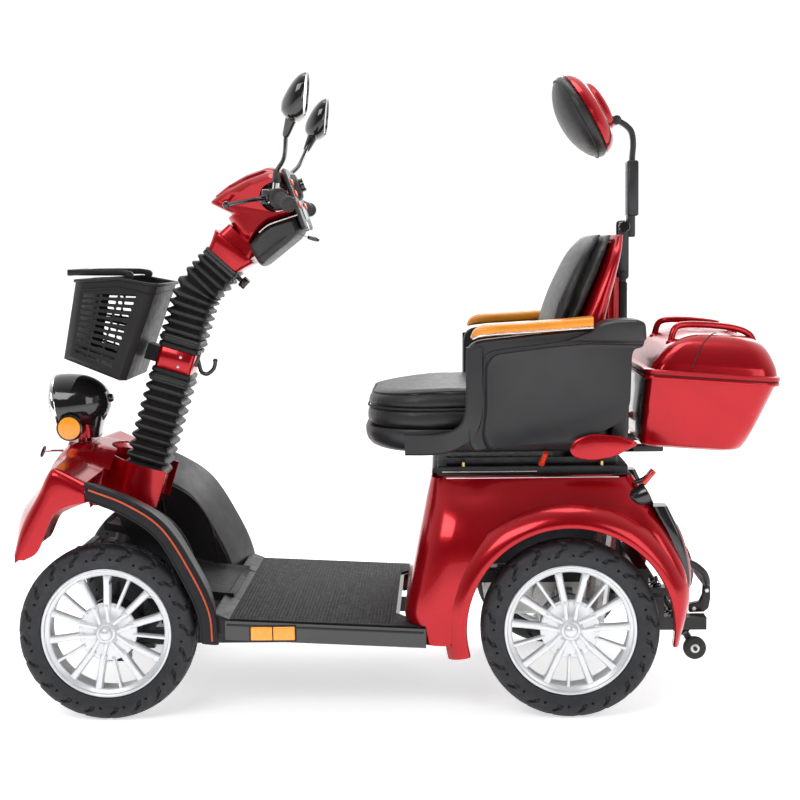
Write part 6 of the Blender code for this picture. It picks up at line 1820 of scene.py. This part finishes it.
def make_headrest():
    profile = smooth_line([(0.0001, 0, 0.0015), (0.08, 0, 0.0015), (0.1, 0, 0.0035), (0.107, 0, 0.011),
                           (0.106, 0, 0.022), (0.098, 0, 0.034), (0.086, 0, 0.044), (0.062, 0, 0.056),
                           (0.034, 0, 0.064), (0.0001, 0, 0.0675)], 4)
    outline = [(p.x, p.z) for p in profile]
    outline[0] = (0.0, outline[0][1])
    outline[-1] = (0.0, outline[-1][1])
    pad = turned("pad", outline, 64, DISC_PLACE)
    pad = puffed(pad, "headrest_cushion", 0.0035, 4.0, 0.0045)
    show(pad, "leather", "headrest", ("headrest_pad",), None)
    ring = [DISC_PLACE @ Vector((0.1045 * math.cos(2 * math.pi * k / 72),
                                 0.1045 * math.sin(2 * math.pi * k / 72), 0.029))
            for k in range(72)]
    show(tube("headrest_piping", ring, 0.0022, cyclic=True, resolution=3), "seam", "headrest",
         (), 60)
    shell_profile = [(0.0, -0.05), (0.03, -0.0495), (0.048, -0.047), (0.06, -0.04), (0.0665, -0.029),
                     (0.072, -0.027), (0.088, -0.021), (0.101, -0.008), (0.1065, 0.004), (0.103, 0.006),
                     (0.096, 0.001), (0.0, 0.001)]
    smooth_profile = [(p.x, p.z) for p in smooth_line([(r, 0, h) for r, h in shell_profile[:9]],
                                                      4)] + shell_profile[9:]
    smooth_profile[0] = (0.0, -0.05)
    shell = turned("headrest_back", smooth_profile, 80, DISC_PLACE)
    show(shell, "red_paint", "headrest", ("headrest_shell",), 45)
    hub = rod("hub", PAD_PIVOT + Vector((0, -0.02, 0)), PAD_PIVOT + Vector((0, 0.02, 0)), 0.011,
              bevel=0.002)
    show(hub, "grey_steel", "headrest", (), 45).name = "headrest_hub"
    stem_line = smooth_line([(0.579, 0, 1.19), (0.579, 0, 1.262), (0.5815, 0, 1.3), (0.578, 0, 1.328),
                             (0.566, 0, 1.344), (0.548, 0, 1.356)], 8)

    def section(_share, along):
        across = along.cross(Vector((0, 1, 0))).normalized()
        return [across * a + Vector((0, b, 0)) for a, b in rounded_rectangle(-0.0062, 0.0062, 0.013,
                (0.004, 0.004), 3)]
    show(ribbon("headrest_bent_arm", stem_line, section), "grey_steel", "headrest_stem",
         ("headrest_arm",), 45)


def make_headrest_bar():
    parts = []
    for side in (-1, 1):
        rows = []
        for y, grow in ((0.021, -0.001), (0.0222, 0.0), (0.0258, 0.0), (0.027, -0.001)):
            corners = [(0.544 - grow, 0.979 - grow), (0.5685 + grow, 0.979 - grow),
                       (0.5685 + grow, 1.12 + grow), (0.544 - grow, 1.12 + grow)]
            rows.append([Vector((p.x, side * y, p.z)) for p in dense_outline(corners, 0.009, 4)])
        parts.append(loft("cheek", rows))
    parts.append(loft("bar", inset_stack(0.567, 0.585, 0.02, ((1.08, 0.002), (1.083, 0), (1.198, 0),
                                                              (1.2, 0.002)),
                                         (0.004, 0.004), 3)))
    parts.append(loft("sleeve", inset_stack(0.5655, 0.5925, 0.0235,
                                            ((1.13, 0.003), (1.134, 0), (1.258, 0), (1.262, 0.003)),
                                            (0.005, 0.005), 4)))
    parts.append(rod("pin", (0.556, -0.03, 0.992), (0.556, 0.03, 0.992), 0.0065, bevel=0.001))
    parts.append(rod("pin", (0.557, -0.03, 1.098), (0.557, 0.03, 1.098), 0.006, bevel=0.001))
    show(joined("headrest_fold_bar", parts), "grey_steel", "headrest_post", ("headrest_bar",), 45)
    knob_rows = []
    for h, r in ((-0.026, 0.006), (-0.032, 0.013), (-0.044, 0.014), (-0.048, 0.012)):
        row = []
        for k in range(48):
            a = 2 * math.pi * k / 48
            rr = r + 0.0009 * math.cos(10 * a)
            row.append(Vector((0.556 + rr * math.cos(a), h, 1.105 + rr * math.sin(a))))
        knob_rows.append(row)
    show(loft("headrest_clamp_knob", knob_rows), "gloss_black", "headrest_post", (), 45)


def make_support():
    """Post behind the seat with its arms under the trunk, and the trunk's tray."""
    post = loft("post", inset_stack(0.546, 0.566, 0.02, ((0.575, 0.0015), (0.578, 0), (0.97, 0),
                                                         (0.972, 0.0015)),
                                    (0.004, 0.004), 3))
    tongue = box("tongue", (0.548, -0.016, 0.965), (0.564, 0.016, 1.006), 0.003)
    arms = []
    for side in (-1, 1):
        low, high = sorted((side * 0.085, side * 0.115))
        arms.append(box("arm", (0.42, low, 0.5725), (0.64, high, 0.589), 0.003))
    arms.append(box("cross", (0.54, -0.115, 0.5725), (0.572, 0.115, 0.589), 0.003))
    show(joined("seat_back_frame", [post, tongue, *arms]), "grey_steel", "seat",
         ("rear_support",), 45)


make_seat_shell()
make_armrests()
make_cushion()
make_backrest()
make_seat_badge()
make_headrest()
make_headrest_bar()
make_support()


# ---------------------------------------------------------------- trunk

TRUNK_PLACE = axes_at((0.739, 0, 0.755), 4.5)
TRUNK_BASE = ((-0.172, -0.139, 0.082, 0.165), (-0.16, -0.148, 0.096, 0.18), (-0.1, -0.151, 0.118, 0.205),
              (-0.002, -0.151, 0.152, 0.224))
TRUNK_LID = ((0.0105, -0.146, 0.152, 0.224), (0.035, -0.13, 0.146, 0.216), (0.072, -0.096, 0.126, 0.192),
             (0.094, -0.05, 0.095, 0.16), (0.0985, 0.0, 0.05, 0.11))
TRUNK_CORNERS = (0.03, 0.05)


def trunk_loop(x0, x1, half, grow=0.0):
    """Plan of the trunk, its corner radii held below the size of the loop."""
    radius = [min(corner, half * 0.8, (x1 - x0) * 0.45) for corner in TRUNK_CORNERS]
    return rounded_rectangle(x0 - grow, x1 + grow, half + grow, radius, 10, 8)


CREASE_DEPTH = 0.007


def side_crease(h, x):
    """Sunken diagonal facet of the trunk's side below its flange."""
    line = -0.045 - 0.45 * (x - 0.02)
    return CREASE_DEPTH * (1 - smoothstep(line - 0.012, line, h)) * smoothstep(-0.145, -0.125,
            x) * (1 - smoothstep(0.08, 0.115, x))


def make_trunk():
    base_levels = blended_levels(TRUNK_BASE, 8)
    rows = []
    for h, x0, x1, half in base_levels:
        row = []
        for x, y in trunk_loop(x0, x1, half):
            push = side_crease(h, x) * smoothstep(0.1, 0.16, abs(y))
            row.append((x, y - math.copysign(push, y), h))
        rows.append(row)
    floor_z = rows[0][0][2]
    bottom = [[(x * 0.97, y * 0.96, floor_z - 0.002) for x, y, _ in rows[0]]]
    inner = [[(x * 0.965, y * 0.965, z + 0.004) for x, y, z in row] for row in rows[1:]]
    inner[-1] = [(x, y, rows[-1][0][2]) for x, y, _ in inner[-1]]
    base = loft("base", bottom + rows + inner[::-1])
    flange_rows = []
    for h, grow in ((-0.011, 0.002), (-0.0095, 0.0115), (-0.007, 0.0128), (-0.003, 0.0128),
                    (-0.0012, 0.0115)):
        flange_rows.append([(x, y, h) for x, y in trunk_loop(-0.15, 0.143, 0.2235, grow)])
    flange_rows += [[(x, y, h) for x, y in trunk_loop(-0.145, 0.144, 0.217)] for h in (-0.0012, -0.011)]
    flange = loft("flange", flange_rows, caps=False, closed_rows=True)
    base.data.transform(TRUNK_PLACE)
    flange.data.transform(TRUNK_PLACE)
    show(joined("trunk_tub", [base, flange]), "red_paint", "seat", ("trunk_base",), 45)
    lid_levels = blended_levels(TRUNK_LID, 7)
    outer = [[(x, y, h) for x, y in trunk_loop(x0, x1, half)] for h, x0, x1, half in lid_levels]
    inner = [[(x * 0.965, y * 0.965, z - 0.004) for x, y, z in row] for row in outer]
    inner[0] = [(x, y, outer[0][0][2]) for x, y, _ in inner[0]]
    lid = loft("lid", inner[::-1] + outer)
    lip_rows = []
    for h, grow in ((0.0006, 0.01), (0.002, 0.0128), (0.0095, 0.0128), (0.012, 0.0105), (0.0128, 0.0015)):
        lip_rows.append([(x, y, h) for x, y in trunk_loop(-0.149, 0.143, 0.2235, grow)])
    lip_rows += [[(x, y, h) for x, y in trunk_loop(-0.1425, 0.143, 0.2165)] for h in (0.0128, 0.0006)]
    lip = loft("lip", lip_rows, caps=False, closed_rows=True)
    for piece in (lid, lip):
        piece.data.transform(TRUNK_PLACE)
    show(joined("trunk_top", [lid, lip]), "red_paint", "lid", ("trunk_lid",), 42)
    seams = []
    for side in (-1, 1):
        line = []
        for h, x0, x1, half in lid_levels[3:]:
            reach = (x1 - x0) * 0.3 + x0
            line.append(TRUNK_PLACE @ Vector((reach, side * (half + 0.0004), h)))
        seams.append(tube("seam", line, 0.0013, resolution=2))
    show(joined("trunk_seams", seams), "seam", "lid", (), 60)
    gasket = [TRUNK_PLACE @ Vector((x, y, 0.0)) for x, y in trunk_loop(-0.15, 0.143, 0.2235, 0.0095)]
    show(tube("trunk_gasket", gasket, 0.0016, cyclic=True, resolution=2), "seam", "seat", (),
         60)
    rails = []
    for side in (-1, 1):
        path = [(-0.092, side * 0.132, 0.074), (-0.084, side * 0.128, 0.104), (-0.06, side * 0.122, 0.114),
                (0.0, side * 0.118, 0.1165), (0.06, side * 0.113, 0.1125), (0.094, side * 0.109, 0.1),
                (0.108, side * 0.107, 0.078)]
        rails.append(tube("rail", [TRUNK_PLACE @ p for p in smooth_line(path, 6)], 0.0078))
        for x in (-0.091, 0.107):
            foot = Vector((x, side * (0.132 if x < 0 else 0.107), 0.07 if x < 0 else 0.08))
            rails.append(turned("foot", [(0, -0.008), (0.0125, -0.008), (0.012, 0.002), (0.0085, 0.006),
                                         (0, 0.006)], 32,
                                TRUNK_PLACE @ Matrix.Translation(foot)))
    cross = [(0.064, -0.113, 0.1115), (0.068, 0.0, 0.1135), (0.064, 0.113, 0.1115)]
    rails.append(tube("cross", [TRUNK_PLACE @ p for p in smooth_line(cross, 8)], 0.007))
    show(joined("trunk_rack", rails), "red_paint", "lid", (), 50)
    face = []
    for h, x0, x1, half in ((-0.15, -0.1495, 0, 0.15), (-0.1, -0.153, 0, 0.172),
                            (-0.016, -0.1535, 0, 0.19)):
        face.append([TRUNK_PLACE @ Vector((x0 + dx, y, h)) for dx, y in
                     ((0.0, -half), (0.0, half), (0.006, half + 0.004), (0.006, -half - 0.004))])
    show(loft("trunk_front_panel", face), "gloss_black", "seat", (), 45)
    latch = box("trunk_latch", (0.14, -0.026, -0.036), (0.16, 0.026, 0.01), 0.004)
    latch.data.transform(TRUNK_PLACE)
    show(latch, "gloss_black", "seat", (), 45)


# ---------------------------------------------------------------- details of the platform and the tail

def make_platform_details():
    bolts = []
    for x in (0.165, 0.485):
        for side in (-1, 1):
            place = Matrix.Translation((x, side * 0.199, 0.556))
            bolts.append(turned("bolt", [(0, -0.001), (0.006, -0.001), (0.006, 0.0), (0.005, 0.0),
                                         (0.005, 0.0085), (0.0035, 0.01), (0, 0.01)], 6, place))
    show(joined("platform_bolts", bolts), "brass", "platform", (), 30)
    for word, side in SIDES:
        low, high = sorted((side * 0.2052, side * 0.2085))
        strip = box(f"{word}_platform_strip", (0.115, low, 0.541), (0.335, high, 0.5445), 0.001)
        show(strip, "zinc", "platform", (), 40)
        lip = box(f"{word}_platform_lip", (0.108, low, 0.5335), (0.54, high, 0.5375), 0.001)
        show(lip, "gloss_black", "platform", (), 40)
    edge = []
    for side in (-1, 1):
        edge.append(tube("edge", [Vector((x, side * 0.2375, 0.5335)) for x in (0.125, 0.3, 0.52)], 0.0022,
                         resolution=3))
    edge.append(tube("edge", [Vector((0.0915, y, 0.533)) for y in (-0.19, 0.0, 0.19)], 0.0022,
                     resolution=3))
    show(joined("body_top_edge", edge), "chrome", "chassis", (), 60)


TAIL_BLOCKS = (
    # piece, finish, slot, corner radii, then levels of (z, front, rear, inner y, outer y)
    ("tail_housing", "gloss_black", "black_plastic", (0.004, 0.009),
     ((0.262, 0.65, 0.6715, 0.255, 0.3), (0.32, 0.651, 0.6735, 0.246, 0.306),
      (0.4, 0.628, 0.656, 0.244, 0.306), (0.474, 0.59, 0.623, 0.25, 0.298))),
    ("tail_lens", "red_lens", "orange_plastic", (0.003, 0.008),
     ((0.276, 0.664, 0.675, 0.262, 0.293), (0.33, 0.664, 0.6765, 0.254, 0.299),
      (0.395, 0.645, 0.661, 0.252, 0.299), (0.43, 0.63, 0.647, 0.256, 0.296))),
)


def make_tail():
    """Lamp cluster behind each rear mudguard, with a round lamp and a small red reflector box above."""
    for word, side in SIDES:
        for name, finish, slot, radii, levels in TAIL_BLOCKS:
            rows = []
            for z, front, rear, low, high in levels:
                loop = rounded_rectangle(front, rear, (high - low) / 2, radii, 5)
                rows.append([(x, side * (low + high) / 2 + y, z) for x, y in loop])
            show(loft(f"{word}_{name}", blend_rows(rows, 4)), finish, "chassis", (), 45)
        place = axes_at((0.566, side * 0.262, 0.489), 62)
        lamp = turned(f"{word}_round_lamp", [(0, -0.03), (0.012, -0.028), (0.025, -0.01), (0.027, 0.018),
                                             (0.025, 0.02), (0.023, 0.014), (0, 0.012)], 48, place)
        show(lamp, "gloss_black", "chassis", (), 45)
        amber = turned(f"{word}_rear_signal", [(0, 0.0125), (0.0226, 0.0125), (0.022, 0.018),
                                               (0.013, 0.022), (0, 0.023)],
                       48, place)
        show(amber, "amber", "chassis", (), 45)
        reflector = box(f"{word}_tail_reflector", (-0.005, -0.018, -0.02), (0.006, 0.018, 0.02), 0.003)
        reflector.data.transform(axes_at((0.584, side * 0.252, 0.535), 40))
        show(reflector, "red_lens", "chassis", (), 45)
        stem = tube(f"{word}_tail_reflector_stem", [Vector((0.556, side * 0.24, 0.52)),
                                                    Vector((0.57, side * 0.248, 0.527)),
                                                    Vector((0.582, side * 0.252, 0.534))], 0.005)
        show(stem, "gloss_black", "chassis", (), 60)


def make_anti_tip():
    for word, side in SIDES:
        centre = side * 0.169
        place = axes_at((0.707, centre, 0.112), -side * 90, "X")
        wheel = turned(f"{word}_small_wheel", [(0.0095, -0.009), (0.0235, -0.009), (0.0262, -0.007),
                                               (0.027, -0.003), (0.027, 0.003), (0.0262, 0.007),
                                               (0.0235, 0.009), (0.0095, 0.009)], 64,
                       place)
        show(wheel, "grip_rubber", f"{word}_anti_tip", (f"{word}_anti_tip_wheel",), 40)
        hub = turned(f"{word}_small_hub", [(0, -0.0094), (0.0105, -0.0094), (0.0105, 0.0094), (0.008, 0.01),
                                           (0, 0.01)],
                     32, place)
        show(hub, "zinc", f"{word}_anti_tip", (), 40)


make_trunk()
make_platform_details()
make_tail()
make_anti_tip()


# ---------------------------------------------------------------- bumper and small tail parts

def make_rear_bumper():
    hoop = [(0.672, -0.15, 0.314), (0.705, -0.15, 0.308), (0.732, -0.145, 0.285), (0.743, -0.125, 0.255),
            (0.744, -0.06, 0.253), (0.744, 0.06, 0.253), (0.743, 0.125, 0.255), (0.732, 0.145, 0.285),
            (0.705, 0.15, 0.308), (0.672, 0.15, 0.314)]
    pieces = [tube("hoop", smooth_line(hoop, 8), 0.0085)]
    for side in (-1, 1):
        outline = [(0.701, 0.186), (0.736, 0.187), (0.747, 0.196), (0.7515, 0.22), (0.751, 0.252),
                   (0.744, 0.262), (0.735, 0.26), (0.733, 0.228), (0.726, 0.212), (0.701, 0.207)]
        claw = plate("claw", outline, *sorted((side * 0.11, side * 0.128)), 0.002)
        pieces.append(claw)
        lug = box("lug", (0.668, min(side * 0.14, side * 0.16), 0.302),
                  (0.69, max(side * 0.14, side * 0.16), 0.322), 0.002)
        pieces.append(lug)
    show(joined("tail_hoop", pieces), "steel", "chassis", ("rear_bumper",), 45)
    bolts = []
    for side in (-1, 1):
        for x, z in ((0.712, 0.1965), (0.742, 0.24)):
            place = axes_at((x, side * 0.128, z), -side * 90, "X")
            bolts.append(turned("bolt", [(0, -0.001), (0.0056, -0.001), (0.0056, 0.003), (0.0046, 0.004),
                                         (0, 0.004)], 6,
                                place))
    show(joined("tail_bolts", bolts), "zinc", "chassis", (), 30)


def make_tip_springs():
    """Coil spring over each anti-tip arm, between two collars."""
    for word, side in SIDES:
        foot = Vector((0.64, side * 0.15, 0.225))
        end = Vector((0.707, side * 0.15, 0.112))
        way = (end - foot).normalized()
        turn = pointing(way, "Y")
        length = (end - foot).length
        path = []
        for k in range(113):
            share = k / 112
            angle = 2 * math.pi * 7 * share
            local = Vector((0.0125 * math.cos(angle), 0.0125 * math.sin(angle),
                            length * (0.22 + 0.44 * share)))
            path.append(foot + turn.to_3x3() @ local)
        pieces = [tube("coil", path, 0.0018, resolution=3)]
        for share in (0.19, 0.67):
            place = Matrix.Translation(foot + way * length * share) @ turn
            pieces.append(turned("collar", [(0.008, 0.0), (0.015, 0.0), (0.015, 0.0045), (0.008, 0.0045)],
                                 32, place))
        show(joined(f"{word}_tip_spring", pieces), "gloss_black", "chassis", (), 45)


def make_seat_lever():
    line = [(0.345, -0.215, 0.562), (0.348, -0.222, 0.572), (0.354, -0.234, 0.59)]
    grip = tube("lever_grip", smooth_line(line, 6), 0.0062)
    band = turned("band", [(0.004, -0.001), (0.0078, -0.001), (0.0078, 0.0025), (0.004, 0.0025)], 24,
                  Matrix.Translation(line[0]) @ Matrix.Rotation(math.radians(35), 4, "X"))
    show(joined("slide_lever_grip", [grip, band]), "lever_orange", "slide_lever",
         ("seat_lever",), 50)


make_rear_bumper()
make_tip_springs()
make_seat_lever()


# ---------------------------------------------------------------- carried-over solids

PLAIN_FINISHES = {
    "steel": ("chassis_frame", "rear_bumper", "left_knuckle", "right_knuckle", "seat_platform"),
    "gloss_black": ("floor_pan", "headlight_shell", "left_brake_lever", "right_brake_lever",
                    "ignition_key", "tilt_knob", "left_mirror", "right_mirror"),
    "mat_rubber": ("floor_mat",),
    "black_plastic": ("leg_shield", "basket", "basket_handle"),
    "red_paint": ("front_cowl", "rear_body", "lower_column_cover", "middle_column_cover",
                  "tiller_head_cover", "backrest_shell", "trunk_base", "headrest_shell", "trunk_lid"),
    "fender_plastic": ("left_fender", "right_fender"),
    "battery": ("battery_pack",),
    "zinc": ("rear_transaxle",),
    "clear_lens": ("headlight_lens",),
    "grip_rubber": ("left_anti_tip_wheel", "right_anti_tip_wheel", "left_grip", "throttle_grip"),
    "grey_steel": ("steering_column", "rear_support", "headrest_bar", "headrest_arm"),
    "bellows_rubber": ("lower_bellows", "upper_bellows"),
    "grey_plastic": ("upper_column_cover", "tiller_lower_cover", "dashboard"),
    "chrome": ("handlebar",),
    "shell_plastic": ("seat_shell",),
    "leather": ("seat_cushion", "backrest_pad", "headrest_pad"),
    "arm_orange": ("left_armrest", "right_armrest"),
    "lever_orange": ("seat_lever",),
}
FINISH_OF = {node: finish for finish, nodes in PLAIN_FINISHES.items() for node in nodes}

for node_name, node in sorted(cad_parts.items()):
    finish = FINISH_OF.get(node_name, "tyre_rubber" if node_name.endswith("tyre") else "alloy")
    node.data.materials.clear()
    node.data.materials.append(MATERIALS[finish])
